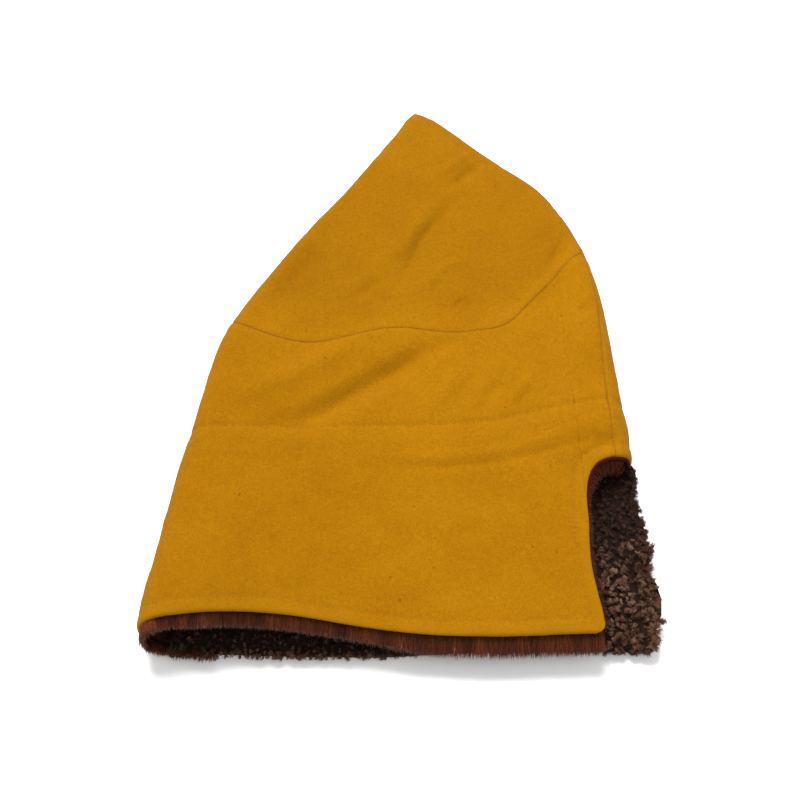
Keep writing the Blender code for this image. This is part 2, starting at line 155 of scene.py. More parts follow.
def curve(at, places, values):
    """Values on the smooth curve through a table's rows."""
    places = np.asarray(places)
    values = np.asarray(values)
    at = np.clip(at, places[0], places[-1])
    slopes = np.gradient(values, places)
    i = np.clip(np.searchsorted(places, at, side="right") - 1, 0, len(places) - 2)
    span = places[i + 1] - places[i]
    s = (at - places[i]) / span
    start = (1 + 2 * s) * (1 - s) ** 2 * values[i] + s * (1 - s) ** 2 * span * slopes[i]
    end = s * s * (3 - 2 * s) * values[i + 1] - s * s * (1 - s) * span * slopes[i + 1]
    return start + end


def to_row(points):
    return points + ROW_SHIFT


def hump(distance, reach):
    """1 where the distance is nothing, and smoothly to nothing past the reach."""
    return np.exp(-((distance / reach) ** 2))


def on_line(at, way, points):
    """Points of a line at these distances along it; way is how far along each of its own is."""
    return np.stack([np.interp(at, way, points[:, k]) for k in range(points.shape[1])], axis=-1)


def softened(points, times):
    """The line with each inner point drawn towards its neighbours, this many times."""
    points = points.copy()
    for _ in range(times):
        points[1:-1] = 0.25 * points[:-2] + 0.5 * points[1:-1] + 0.25 * points[2:]
    return points


def unit(vectors):
    """The vectors at length one."""
    return vectors / np.maximum(np.linalg.norm(vectors, axis=-1, keepdims=True), 1e-12)


def eased(share):
    """Smoothly from 0 to 1 as the share goes from 0 to 1, and held there outside."""
    return 0.5 * (1 - np.cos(math.pi * np.clip(share, 0, 1)))


def sizes_at(along):
    """Sizes of the flattened loop at shares of the hat's length."""
    share = {name: curve(along, SECTIONS["along"], SECTIONS[name]) for name in SECTIONS}
    size = {"left": share["left"] * HAT_WIDTH, "right": share["right"] * HAT_WIDTH}
    for name in ("rise_left", "rise_middle", "rise_right"):
        size[name] = share[name] * HAT_RISE
    widest_fold = FOLD_SHARE * (size["right"] - size["left"])
    size["fold_left"] = np.minimum(0.5 * size["rise_left"], widest_fold)
    size["fold_right"] = np.minimum(0.5 * size["rise_right"], widest_fold)
    size["seam"] = math.radians(90) * np.maximum(share["seam"], 0.0)
    return size


def fold_lift(x, y):
    """How far the folds raise or lower the upper side there."""
    lift = np.zeros_like(x)
    for height, reach, path in FOLDS:
        path = np.array(path) * (HAT_WIDTH, HAT_LENGTH)
        steps = np.linalg.norm(np.diff(path, axis=0), axis=1)
        before = np.concatenate([[0.0], np.cumsum(steps)])
        nearest = np.full(x.shape, 1.0)
        place = np.zeros_like(x)
        for start, end, step, passed in zip(path[:-1], path[1:], steps, before):
            run = (end - start) / step
            reached = np.clip((x - start[0]) * run[0] + (y - start[1]) * run[1], 0, step)
            away = np.hypot(x - start[0] - reached * run[0], y - start[1] - reached * run[1])
            nearer = away < nearest
            nearest = np.where(nearer, away, nearest)
            place = np.where(nearer, passed + reached, place)
        fade = np.minimum(place, before[-1] - place) / (FOLD_FADE * before[-1])
        lift += height * hump(nearest, reach) * (0.25 + 0.75 * eased(fade))
    return lift


def surface(along, column, side):
    """Points of the cloth's outside: column 0 is the front seam and COLUMNS the back seam."""
    size = sizes_at(along)
    top = math.radians(90) * (1 if side == "right" else -1)
    first = TURN if side == "right" else FOLD
    last = COLUMNS - first - FLAT
    near = np.clip(column / first, 0, 1)
    middle = np.clip((column - first) / FLAT, 0, 1)
    far = np.clip((column - first - FLAT) / last, 0, 1)
    half_right = 0.5 * size["rise_right"]
    half_left = 0.5 * size["rise_left"]
    angle_right = size["seam"] + (top - size["seam"]) * near
    angle_left = top - (size["seam"] + top) * far
    start = size["right"] - size["fold_right"]
    end = size["left"] + size["fold_left"]
    x_right = start + size["fold_right"] * np.cos(angle_right)
    x_left = end - size["fold_left"] * np.cos(angle_left)
    x = np.where(near < 1, x_right, np.where(far > 0, x_left, start + (end - start) * middle))
    z_right = half_right * (1 + np.sin(angle_right))
    z_left = half_left * (1 + np.sin(angle_left))
    if side == "right":
        rise = size["rise_right"] + (size["rise_middle"] - size["rise_right"]) * eased(2 * middle)
        rise = rise + (size["rise_left"] - size["rise_middle"]) * eased(2 * middle - 1)
    else:
        rise = np.zeros_like(middle)
    z = np.where(near < 1, z_right, np.where(far > 0, z_left, rise))
    angle = np.where(near < 1, angle_right, np.where(far > 0, angle_left, top))
    y = along * HAT_LENGTH
    z = z + fold_lift(x, y) * np.maximum(np.sin(angle), 0)
    shut = np.clip((along - TIP_FROM) / (1 - TIP_FROM), 0, 1)
    shut = np.maximum(np.sqrt(1 - shut**2), 0.02)
    x_middle = 0.5 * (size["left"] + size["right"])
    z_middle = 0.5 * size["rise_middle"]
    x = x_middle + (x - x_middle) * shut
    z = z_middle + (z - z_middle) * shut
    return np.stack([x, y, z], axis=-1)


def lengths_along(points):
    """How far along a line each of its points is."""
    steps = np.linalg.norm(np.diff(points, axis=0), axis=-1)
    return np.concatenate([[0.0], np.cumsum(steps)])


FINE_COLUMNS = np.linspace(0, COLUMNS, 1201)
WAY_ROUND = {
    side: lengths_along(surface(np.full(1201, 0.5), FINE_COLUMNS, side))
    for side in ("right", "left")
}
CUT_PLACES = lengths_along(surface(np.full(COLUMNS + 1, 0.5), np.arange(COLUMNS + 1.0), "right"))


def cut_share(column):
    """Share of the way from the front seam to the back seam at which the cloth is cut."""
    return np.interp(column, np.arange(COLUMNS + 1), CUT_PLACES / CUT_PLACES[-1])


def swell(name, place):
    """Height of a named swell at these shares of the way round."""
    row = SWELLS[name]
    return row["height"] * hump(place - row["place"], row["reach"])


def hem_along(column, side):
    """Place of the hem, as a share of the hat's length."""
    half = 0.5 * cut_share(column)
    place = half if side == "right" else 1 - half
    swells = sum(swell(name, place) for name in ("hem_lift", "hem_corner", "hem_drop"))
    return swells / HAT_LENGTH


def lining_along(column):
    """Place of the lining's top, where its line of stitches runs."""
    return (LINING_HEIGHT + swell("front_rise", cut_share(column))) / HAT_LENGTH


def crown_along(column):
    """Place of the seam between skirt and crown."""
    return curve(cut_share(column), CROWN_SEAM["round"], CROWN_SEAM["along"])


def leg_column(along, side):
    """Column of the notch's leg: on the upper side its plan, below it the flap's edge."""
    size = sizes_at(along)
    if side == "right":
        start = size["right"] - size["fold_right"]
        end = size["left"] + size["fold_left"]
        across = curve(along, LEG["along"], LEG["across"]) * HAT_WIDTH
        return TURN + FLAT * (start - across) / (start - end)
    half = 0.5 * size["rise_right"]
    angle = np.arcsin((FLAP_EDGE_RISE - half) / half)
    return FOLD * (size["seam"] - angle) / (size["seam"] + math.radians(90))


def graded(length, coarse, fine=EDGE_STEP):
    """Shares from 0 to 1, closer together at both ends, in a multiple of the inner stride."""
    at = np.linspace(0, length, 4000)
    near = np.exp(-at / EDGE_REACH) + np.exp((at - length) / EDGE_REACH)
    step = coarse - (coarse - fine) * np.minimum(near, 1)
    count = np.concatenate([[0.0], np.cumsum(np.diff(at) / step[1:])])
    cells = INNER_STRIDE * max(round(count[-1] / INNER_STRIDE), 1)
    return np.interp(np.linspace(0, count[-1], cells + 1), count, at) / length


def even_columns(low, high, side, coarse):
    """Columns from low to high, by how far round they are."""
    ends = np.interp((low, high), FINE_COLUMNS, WAY_ROUND[side])
    places = ends[0] + (ends[1] - ends[0]) * graded(ends[1] - ends[0], coarse)
    return np.interp(places, WAY_ROUND[side], FINE_COLUMNS)


def arch_height(share, side):
    """Height of the notch's arch as a share, by the share of the way from the seam to the leg.

    The lower panel's half is squarer and swells above the seam, as its edge opens outward.
    """
    power = ARCH_SQUARENESS[side]
    swell_up = 6.75 * share**2 * (1 - share) * ARCH_LIFT[side] / NOTCH_ARCH
    return np.maximum(1 - share**power, 0) ** (1 / power) + swell_up


def arch_columns(leg, side, coarse):
    """Columns from the front seam to the leg, evenly spread along the notch's arch."""
    reach = float(np.interp(leg, FINE_COLUMNS, WAY_ROUND[side]))
    share = 1 - np.linspace(1, 0, 2000) ** 3
    arch = np.stack([share * reach, arch_height(share, side) * NOTCH_ARCH], axis=-1)
    way = lengths_along(arch)
    places = np.interp(graded(way[-1], coarse) * way[-1], way, share * reach)
    return np.interp(places, WAY_ROUND[side], FINE_COLUMNS)


def normals_of(along, column, side):
    """Unit normals of the cloth at these places, pointing away from the hat's inside."""
    up, over = 1e-4, 1e-2
    steep = surface(np.minimum(along + up, 1.0), column, side) - surface(along - up, column, side)
    across = surface(along, np.minimum(column + over, COLUMNS), side)
    across = across - surface(along, np.maximum(column - over, 0), side)
    return unit(np.cross(steep, across)) * (1 if side == "right" else -1)


def with_facts(grid):
    """Adds the points, their normals and how far round each is to a grid of places."""
    side = grid["side"]
    grid["points"] = surface(grid["along"], grid["column"], side)
    grid["normals"] = normals_of(grid["along"], grid["column"], side)
    steps = np.linalg.norm(np.diff(grid["points"][..., ::2], axis=1), axis=-1)
    grid["round"] = np.concatenate([np.zeros((len(steps), 1)), np.cumsum(steps, axis=1)], axis=1)
    grid["y"] = grid["along"] * HAT_LENGTH
    return grid


def skirt_grid(side, top_along, past_hem=0.0, coarse=None):
    """Places of a skirt panel's points. Rows below the arch stop at the notch's leg.

    The first columns cross the notch from the front seam to the leg, and the others follow.
    past_hem is how far the grid reaches past the hem, and coarse its widest step.
    """
    coarse = coarse or SKIN_STEP[side]
    spring = NOTCH_SPRING / HAT_LENGTH
    leg_spring = float(leg_column(np.array([spring]), side)[0])
    inside = arch_columns(leg_spring, side, coarse)
    base = np.concatenate([inside, even_columns(leg_spring, COLUMNS, side, coarse)[1:]])
    leg = len(inside) - 1
    top = top_along(base)
    low = graded(NOTCH_SPRING, coarse)
    high = graded(float(top.mean()) * HAT_LENGTH - NOTCH_SPRING, coarse)
    foot = len(low) - 1
    hem = hem_along(base, side) - past_hem / HAT_LENGTH
    reached = np.interp(inside, FINE_COLUMNS, WAY_ROUND[side])
    arch = arch_height(reached / reached[-1], side)
    start = np.full(len(base), spring)
    start[: leg + 1] = (NOTCH_SPRING + NOTCH_ARCH * arch) / HAT_LENGTH
    above = spring + (top - spring) * high[:, None] + (start - spring) * (1 - high[:, None]) ** 2
    below = hem + (spring - hem) * low[:-1, None]
    along = np.concatenate([below, above])
    at_leg = leg_column(np.minimum(along[:, leg], spring), side)
    share = np.clip((base - leg_spring) / (COLUMNS - leg_spring), 0, 1)
    column = at_leg[:, None] + share * (COLUMNS - at_leg[:, None])
    column[:, : leg + 1] = base[: leg + 1] * (at_leg / leg_spring)[:, None]
    grid = with_facts({"side": side, "along": along, "column": column, "leg": leg, "foot": foot})
    if side == "right":
        from_leg = grid["round"][0] - grid["round"][0, leg]
        from_leg = np.clip(from_leg, 0, CORNER_RADIUS)
        rise = CORNER_RADIUS - np.sqrt(CORNER_RADIUS**2 - (CORNER_RADIUS - from_leg) ** 2)
        up = (grid["y"][: foot + 1] - grid["y"][:1]) / (4 * CORNER_RADIUS)
        along[: foot + 1] += rise * np.clip(1 - up, 0, 1) / HAT_LENGTH
        grid = with_facts(grid)
    return grid


def crown_grid(side):
    """Places of a crown panel's points, from the crown seam to the tip."""
    coarse = SKIN_STEP[side]
    base = even_columns(0.0, COLUMNS, side, coarse)
    share = graded(HAT_LENGTH * 0.5, coarse)
    seam = crown_along(base)
    along = seam + (1 - seam) * share[:, None]
    column = np.broadcast_to(base, along.shape).copy()
    return with_facts({"side": side, "along": along, "column": column, "leg": 0, "foot": 0})


def notch_distance(grid):
    """Distance of each point from the notch's edge, measured on the cloth laid out flat."""
    leg, foot = grid["leg"], grid["foot"]
    edge_round = np.concatenate([grid["round"][:foot, leg], grid["round"][foot, leg::-1]])
    edge_y = np.concatenate([grid["y"][:foot, leg], grid["y"][foot, leg::-1]])
    edge = np.stack([edge_round, edge_y], axis=-1)
    places = np.stack([grid["round"], grid["y"]], axis=-1)
    nearest = np.full(places.shape[:2], np.inf)
    for start, end in zip(edge[:-1], edge[1:]):
        run = end - start
        share = np.clip(((places - start) @ run) / max(run @ run, 1e-12), 0, 1)
        gap = places - start - share[..., None] * run
        nearest = np.minimum(nearest, np.hypot(gap[..., 0], gap[..., 1]))
    return nearest


# How many plane waves make up a random height
WAVES = 20


def ripples(points, length, seed):
    """A smooth random height of about -1 to 1, alike on both sides of a seam."""
    draw = np.random.default_rng(seed)
    ways = unit(draw.normal(size=(WAVES, 3))) * draw.uniform(0.7, 1.4, (WAVES, 1))
    phases = draw.uniform(0, math.tau, WAVES)
    turns = points @ (ways.T * (math.tau / length)) + phases
    return np.cos(turns).sum(axis=-1) / math.sqrt(WAVES / 2)


def wall(name, grid, height, depth, material, shades, move=None):
    """Closed wall on a grid: its fine outer skin at a height, a coarser inner one, and a rim.

    height is the outer skin's place above the grid, and depth is how far below it the inner
    skin lies. shades are named values for each point, which the material reads. move shifts
    the finished points.
    """
    stride = INNER_STRIDE
    leg, foot = grid["leg"], grid["foot"]
    rows, columns = grid["along"].shape
    outer = grid["points"] + grid["normals"] * height[..., None]
    grid["inner"] = outer - grid["normals"] * depth[..., None]
    if move:
        outer, grid["inner"] = move(outer), move(grid["inner"])
    outer[..., 2] = np.maximum(outer[..., 2], 0.0)
    grid["outer"] = outer
    inner = grid["inner"][::stride, ::stride]
    inner_rows, inner_columns = inner.shape[:2]
    fine = np.arange(rows * columns).reshape(rows, columns)
    rough = rows * columns + np.arange(inner_rows * inner_columns).reshape(inner_rows, -1)

    def squares(index, first_row, first_column):
        corners = (index[:-1, :-1], index[:-1, 1:], index[1:, 1:], index[1:, :-1])
        used = np.ones(corners[0].shape, bool)
        used[:first_row, :first_column] = False
        return np.stack([corner[used] for corner in corners], axis=-1)

    path = [(0, j) for j in range(leg, columns - 1)]
    path += [(i, columns - 1) for i in range(rows - 1)]
    path += [(rows - 1, j) for j in range(columns - 1, 0, -1)]
    path += [(i, 0) for i in range(rows - 1, foot, -1)]
    path += [(foot, j) for j in range(leg)]
    path += [(i, leg) for i in range(foot, 0, -1)]
    path.append(path[0])
    rim = []
    for k in range(0, len(path) - 1, stride):
        outside = [fine[place] for place in path[k : k + stride + 1]]
        inside = [rough[i // stride, j // stride] for i, j in (path[k], path[k + stride])]
        rim.append(outside[::-1] + inside)
    skins = [squares(fine, foot, leg), squares(rough, foot // stride, leg // stride)[:, ::-1]]
    faces = skins + [np.array(rim)]
    if grid["side"] == "right":
        faces = [face[:, ::-1] for face in faces]
    points = np.concatenate([outer.reshape(-1, 3), inner.reshape(-1, 3)])
    values = {}
    for shade, value in shades.items():
        values[shade] = np.concatenate([value.ravel(), value[::stride, ::stride].ravel()])
    return mesh_piece(name, points, faces, material, values)


def mesh_piece(name, points, faces, material, values=None):
    """Object of these points and faces, without the points that no face uses."""
    flat = np.concatenate([face.ravel() for face in faces])
    used, flat = np.unique(flat, return_inverse=True)
    points = points[used]
    sizes = np.concatenate([np.full(len(face), face.shape[1]) for face in faces])
    mesh = bpy.data.meshes.new(name)
    mesh.vertices.add(len(points))
    mesh.vertices.foreach_set("co", to_row(points).astype(np.float32).ravel())
    mesh.loops.add(len(flat))
    mesh.loops.foreach_set("vertex_index", flat.astype(np.int32))
    mesh.polygons.add(len(sizes))
    starts = np.concatenate([[0], np.cumsum(sizes)[:-1]])
    mesh.polygons.foreach_set("loop_start", starts.astype(np.int32))
    mesh.update(calc_edges=True)
    mesh.validate()
    for key, value in (values or {}).items():
        attribute = mesh.attributes.new(key, "FLOAT", "POINT")
        attribute.data.foreach_set("value", value[used].astype(np.float32))
    mesh.shade_smooth()
    mesh.materials.append(material)
    piece = bpy.data.objects.new(name, mesh)
    bpy.context.scene.collection.objects.link(piece)
    return piece


# Relief of the cloth: depths and reaches of seams, stitch lines and turned edges
TURNED = 0.0034
TURNED_DROP = 0.0014
HEM_BAND = 0.0090
NOTCH_BAND = 0.0090
BAND_PUFF = 0.0004
HEM_GROOVE = {"depth": 0.00035, "reach": 0.0015, "pitch": 0.0036}
NOTCH_GROOVE = {"depth": 0.0008, "reach": 0.0016, "pitch": 0.0036}
LINING_GROOVE = {"depth": 0.0010, "reach": 0.0016, "pitch": 0.0046}
SEAM_GROOVE = {"depth": 0.00035, "reach": 0.0009}
SEAM_RIDGE = {"height": 0.00020, "place": 0.0040, "reach": 0.0025}
SEAM_PUCKER = 0.0000875
PADDING = 0.0009
RIPPLES = ((0.060, 0.00018, 11), (0.022, 0.00010, 12), (0.007, 0.00004, 13))


def groove(distance, way, look):
    """A line of stitches drawn into the cloth, deepest where the thread goes in."""
    dimples = 0.65 + 0.35 * np.cos(math.tau * way / look["pitch"])
    return -look["depth"] * hump(distance, look["reach"]) * dimples


def seam_relief(distance, points, seed):
    """A seam: a narrow groove between two low ridges, drawn together a little."""
    height = -SEAM_GROOVE["depth"] * hump(distance, SEAM_GROOVE["reach"])
    height += SEAM_RIDGE["height"] * hump(distance - SEAM_RIDGE["place"], SEAM_RIDGE["reach"])
    return height + SEAM_PUCKER * ripples(points, 0.009, seed) * hump(distance, 0.006)


def turned_edge(distance, band):
    """An edge turned under: rounded over at its end, and full as far as its stitches."""
    inward = np.clip(1 - distance / TURNED, 0, 1)
    over = -TURNED_DROP * (1 - np.sqrt(1 - inward**2))
    return over + BAND_PUFF * np.sin(math.pi * np.clip(distance / band, 0, 1)) ** 0.8


def seams_of(grid):
    """Distances from the front, back and crown seams, for each point of a panel."""
    front = grid["round"]
    back = grid["round"][:, -1:] - grid["round"]
    crown_y = crown_along(grid["column"]) * HAT_LENGTH
    slope = np.gradient(crown_y, axis=1) / np.maximum(np.gradient(grid["round"], axis=1), 1e-6)
    crown = np.abs(grid["y"] - crown_y) / np.hypot(1, slope)
    return front, back, crown


def cloth_relief(grid, is_skirt):
    """Height of the cloth's relief, how near each point is to an edge, and to a seam."""
    points = grid["points"]
    front, back, crown = seams_of(grid)
    height = sum(size * ripples(points, length, seed) for length, size, seed in RIPPLES)
    for distance, seed in ((front, 21), (back, 22), (crown, 23)):
        height = height + seam_relief(distance, points, seed)
    seams = np.minimum(np.minimum(front, back), crown)
    edges = np.full(seams.shape, 1.0)
    if is_skirt:
        from_hem = grid["y"] - hem_along(grid["column"], grid["side"]) * HAT_LENGTH
        from_notch = notch_distance(grid)
        edges = np.minimum(from_hem, from_notch)
        height += turned_edge(edges, HEM_BAND)
        height += groove(from_hem - HEM_BAND, grid["round"], HEM_GROOVE) * (
            from_notch > NOTCH_BAND
        )
        height += groove(from_notch - NOTCH_BAND, grid["y"], NOTCH_GROOVE) * (from_hem > HEM_BAND)
        from_top = grid["y"] - lining_along(grid["column"]) * HAT_LENGTH
        height += groove(from_top, grid["round"], LINING_GROOVE)
        under_top = np.clip(-from_top / 0.012, 0, 1)
        height += PADDING * eased(under_top) * eased(edges / 0.03)
    return height, edges, seams


def painted_shade_share(grid):
    """How far the cloth's colour is darkened as painted shade: over the crown and a little down the
    left.
    """
    x = grid["points"][..., 0]
    above = grid["y"] - crown_along(grid["column"]) * HAT_LENGTH
    leftward = eased((0.02 - x) / 0.12)
    on_crown = eased((above + 0.01) / 0.055) * (0.65 + 0.35 * leftward)
    return np.maximum(on_crown, 0.4 * leftward)


# Surfaces


def nodes_of(name):
    """A new material, its shader tree and its main shader."""
    material = bpy.data.materials.new(name)
    material.use_nodes = True
    tree = material.node_tree
    return material, tree, tree.nodes["Principled BSDF"]


def add(tree, kind, **settings):
    """A shader node with these properties and, for names of its sockets, these values."""
    node = tree.nodes.new(kind)
    for key, value in settings.items():
        if key in node.inputs:
            node.inputs[key].default_value = value
        else:
            setattr(node, key, value)
    return node


def noise(tree, scale, detail=3.0, roughness=0.6, stretch=None):
    """Noise in the object's own metres, stretched along an axis where asked."""
    place = add(tree, "ShaderNodeTexCoord")
    texture = add(tree, "ShaderNodeTexNoise", Scale=scale, Detail=detail, Roughness=roughness)
    source = place.outputs["Object"]
    if stretch:
        mapping = add(tree, "ShaderNodeMapping", Scale=stretch)
        tree.links.new(source, mapping.inputs["Vector"])
        source = mapping.outputs["Vector"]
    tree.links.new(source, texture.inputs["Vector"])
    return texture.outputs["Fac"]


def ramp(tree, source, stops):
    """Colours or greys by a value: stops are (place, colour or grey)."""
    node = add(tree, "ShaderNodeValToRGB")
    elements = node.color_ramp.elements
    while len(elements) < len(stops):
        elements.new(0.5)
    for element, (place, colour) in zip(elements, stops):
        element.position = place
        element.color = (*(colour if isinstance(colour, tuple) else (colour,) * 3), 1.0)
    tree.links.new(source, node.inputs["Fac"])
    return node.outputs["Color"]


def feed(tree, socket, value):
    """Links a socket to another one, or sets it to a number or a colour."""
    if isinstance(value, bpy.types.NodeSocket):
        tree.links.new(value, socket)
    else:
        socket.default_value = (*value, 1.0) if isinstance(value, tuple) else value


def mixed(tree, share, first, second, blend="MIX"):
    """Two colours mixed; each of the three may be a socket or a value."""
    node = add(tree, "ShaderNodeMix", data_type="RGBA", blend_type=blend)
    for socket, value in (("Factor", share), ("A", first), ("B", second)):
        feed(tree, next(s for s in node.inputs if s.name == socket and s.enabled), value)
    return next(s for s in node.outputs if s.enabled)


def maths(tree, operation, first, second):
    """A sum or the like of two values; each may be a socket or a number."""
    node = add(tree, "ShaderNodeMath", operation=operation)
    feed(tree, node.inputs[0], first)
    feed(tree, node.inputs[1], second)
    return node.outputs[0]


def attribute(tree, name):
    return add(tree, "ShaderNodeAttribute", attribute_name=name).outputs["Fac"]


def bump(tree, shader, sources):
    """Fine relief from (height socket, strength, depth in metres)."""
    normal = None
    for source, strength, depth in sources:
        node = add(tree, "ShaderNodeBump", Strength=strength, Distance=depth)
        tree.links.new(source, node.inputs["Height"])
        if normal:
            tree.links.new(normal, node.inputs["Normal"])
        normal = node.outputs["Normal"]
    tree.links.new(normal, shader.inputs["Normal"])


def finish(tree, shader, colour, roughness, specular=0.5):
    """Gives the main shader its colour, its roughness and its shine."""
    tree.links.new(colour, shader.inputs["Base Color"])
    shader.inputs["Roughness"].default_value = roughness
    shader.inputs["Specular IOR Level"].default_value = specular


# Colours, as shares of red, green and blue light, and how steeply strands pale to their tips
WOOL_DEEP = (0.232, 0.086, 0.0007)
WOOL_MIDDLE = (0.271, 0.111, 0.0010)
WOOL_LIGHT = (0.298, 0.126, 0.0015)
# Painted highlight: the paler colour of turned edges
WOOL_EDGE_HIGHLIGHT = (0.285, 0.126, 0.0028)
WOOL_SEAM = (0.150, 0.052, 0.0006)
WOOL_SPECK = (0.090, 0.038, 0.0040)
# Painted shade: the pile's depth, its own dark brown drawn near black
PILE_ROOT = (0.0055, 0.0027, 0.0016)
PILE_DEPTH = (0.0190, 0.0083, 0.0051)
CURL_DARK = (0.026, 0.0098, 0.0053)
CURL_MIDDLE = (0.192, 0.0800, 0.0400)
CURL_TIP = (0.360, 0.225, 0.1550)
STRIP_DARK = (0.060, 0.0125, 0.0036)
STRIP_MIDDLE = (0.135, 0.0300, 0.0078)
STRIP_TIP = (0.500, 0.350, 0.2700)
CURL_FADE = 1.6
STRIP_FADE = 11.0
MAROON_DARK = (0.026, 0.0006, 0.0018)
MAROON_LIGHT = (0.062, 0.0012, 0.0045)
# Painted shade: the colour by which the crown is multiplied
PAINTED_SHADE_TINT = (0.82, 0.81, 0.80)
THREAD = (0.250, 0.105, 0.0040)
THREAD_DARK = (0.150, 0.056, 0.0012)


def wool_material():
    """Fulled ochre wool: fine grain, dark flecks, painted shade on the crown, painted highlight on
    turned edges.
    """
    material, tree, shader = nodes_of("yellow_wool_nap")
    clouds = ramp(tree, noise(tree, 28, 3), (
        (0.34, WOOL_DEEP),
        (0.52, WOOL_MIDDLE),
        (0.72, WOOL_LIGHT),
    ))
    grain = ramp(tree, noise(tree, 1000, 4, 0.75), ((0.30, 0.70), (0.70, 1.20)))
    colour = mixed(tree, 0.9, mixed(tree, 0.35, WOOL_MIDDLE, clouds), grain, "MULTIPLY")
    # Painted shade: the crown and the left side are darkened in colour
    colour = mixed(tree, attribute(tree, "painted_shade"), colour, mixed(tree, 1.0, colour, PAINTED_SHADE_TINT, "MULTIPLY"))
    mottle = ramp(tree, noise(tree, 330, 3, 0.6), ((0.35, 0.945), (0.65, 1.035)))
    colour = mixed(tree, 1.0, colour, mottle, "MULTIPLY")
    flecks = ramp(tree, noise(tree, 260, 2, 0.5, (1.0, 0.6, 1.0)), (
        (0.735, 0.0),
        (0.78, 0.6),
    ))
    colour = mixed(tree, flecks, colour, WOOL_SPECK)
    # Painted highlight: turned edges drawn paler
    colour = mixed(tree, attribute(tree, "edge"), colour, WOOL_EDGE_HIGHLIGHT)
    broken = ramp(tree, noise(tree, 26, 2), ((0.40, 0.05), (0.60, 1.0)))
    seam = maths(tree, "MULTIPLY", attribute(tree, "seam"), broken)
    finish(tree, shader, mixed(tree, seam, colour, WOOL_SEAM), 0.96, 0.04)
    shader.inputs["Sheen Weight"].default_value = 0.05
    shader.inputs["Sheen Roughness"].default_value = 0.5
    shader.inputs["Sheen Tint"].default_value = (0.95, 0.60, 0.08, 1.0)
    bump(tree, shader, (
        (noise(tree, 420, 3, 0.6), 0.30, 0.0005),
        (noise(tree, 1500, 4, 0.8), 0.60, 0.0003),
    ))
    return material


def pile_material(name, dark, middle, tip, fade):
    """Strands: darkened at the root as painted shade, paler at the tip, each of its own brown."""
    material, tree, shader = nodes_of(name)
    body = mixed(tree, attribute(tree, "shade"), dark, middle)
    along = attribute(tree, "along")
    pale = maths(tree, "MULTIPLY", maths(tree, "POWER", along, fade), attribute(tree, "pale"))
    colour = mixed(tree, pale, body, tip)
    # Painted shade: the lowest part of each strand is drawn darker
    root = ramp(tree, along, ((0.0, 0.25), (0.30, 1.0)))
    colour = mixed(tree, 1.0, colour, root, "MULTIPLY")
    grain = ramp(tree, noise(tree, 700, 2, 0.6), ((0.3, 0.75), (0.7, 1.15)))
    finish(tree, shader, mixed(tree, 1.0, colour, grain, "MULTIPLY"), 0.7, 0.18)
    return material


def core_material():
    """The matted depth of the pile, under its strands: its own dark brown, darkened to near black as
    painted shade.
    """
    material, tree, shader = nodes_of("brown_fur_depth")
    colour = ramp(tree, noise(tree, 320, 4, 0.7), ((0.38, PILE_ROOT), (0.72, PILE_DEPTH)))
    finish(tree, shader, colour, 0.95, 0.10)
    bump(tree, shader, ((noise(tree, 380, 4, 0.7), 0.9, 0.0015),))
    return material


def binding_material():
    """Maroon cloth strip: a fine slanting weave."""
    material, tree, shader = nodes_of("maroon_cloth_weave")
    place = add(tree, "ShaderNodeTexCoord")
    weave = add(tree, "ShaderNodeTexWave", Scale=420.0, Distortion=2.0, bands_direction="DIAGONAL")
    tree.links.new(place.outputs["Object"], weave.inputs["Vector"])
    colour = ramp(tree, weave.outputs["Fac"], ((0.2, MAROON_DARK), (0.8, MAROON_LIGHT)))
    finish(tree, shader, colour, 0.85, 0.10)
    bump(tree, shader, ((weave.outputs["Fac"], 0.5, 0.0003),))
    return material


def thread_material():
    """Sewing thread: two plies of ochre."""
    material, tree, shader = nodes_of("yellow_thread")
    colour = ramp(tree, noise(tree, 900, 2), ((0.35, THREAD_DARK), (0.6, THREAD)))
    finish(tree, shader, colour, 0.7)
    bump(tree, shader, ((noise(tree, 1800, 2), 0.5, 0.0002),))
    return material


# Strands of fur


def tube_sides(index):
    """Four-cornered faces of tubes: index is (..., rings, corners), and each ring joins the next."""
    after = np.roll(index, -1, axis=-1)
    corners = (index[..., :-1, :], after[..., :-1, :], after[..., 1:, :], index[..., 1:, :])
    return np.stack(corners, axis=-1).reshape(-1, 4)


def strand_mesh(name, lines, radii, material, values):
    """Joined three-sided strands: lines is (strands, stations, 3) and radii (strands, stations)."""
    strands, stations, _ = lines.shape
    tangent = unit(np.gradient(lines, axis=1))
    reference = np.where(np.abs(tangent[..., 2:]) < 0.8, (0.0, 0.0, 1.0), (1.0, 0.0, 0.0))
    across = unit(np.cross(tangent, reference))
    third = np.cross(tangent, across)
    turn = math.tau / 3 * np.arange(3)
    spread = across[:, :, None] * np.cos(turn)[:, None] + third[:, :, None] * np.sin(turn)[:, None]
    rings = lines[:, :, None] + spread * radii[:, :, None, None]
    rings[..., 2] = np.maximum(rings[..., 2], 0.0001)
    bodies = rings[:, :-1].reshape(strands, -1, 3)
    tips = lines[:, -1:].copy()
    tips[..., 2] = np.maximum(tips[..., 2], 0.0001)
    points = np.concatenate([bodies, tips], axis=1)
    size = points.shape[1]
    index = np.arange(strands * size).reshape(strands, size)
    rings = index[:, :-1].reshape(strands, -1, 3)
    last = rings[:, -1]
    tip = np.broadcast_to(index[:, -1:], last.shape)
    ends = np.stack([last, np.roll(last, -1, axis=-1), tip], axis=-1).reshape(-1, 3)
    faces = [tube_sides(rings), ends]
    share = np.concatenate([np.repeat(np.linspace(0, 1, stations)[:-1], 3), [1.0]])
    shades = {"along": np.tile(share, strands)}
    for key, value in values.items():
        shades[key] = np.repeat(value, size)
    return mesh_piece(name, points.reshape(-1, 3), faces, material, shades)


def across_of(ways, draw):
    """Two unit vectors square to each way."""
    first = unit(np.cross(ways, unit(draw.normal(size=ways.shape))))
    return first, np.cross(ways, first)


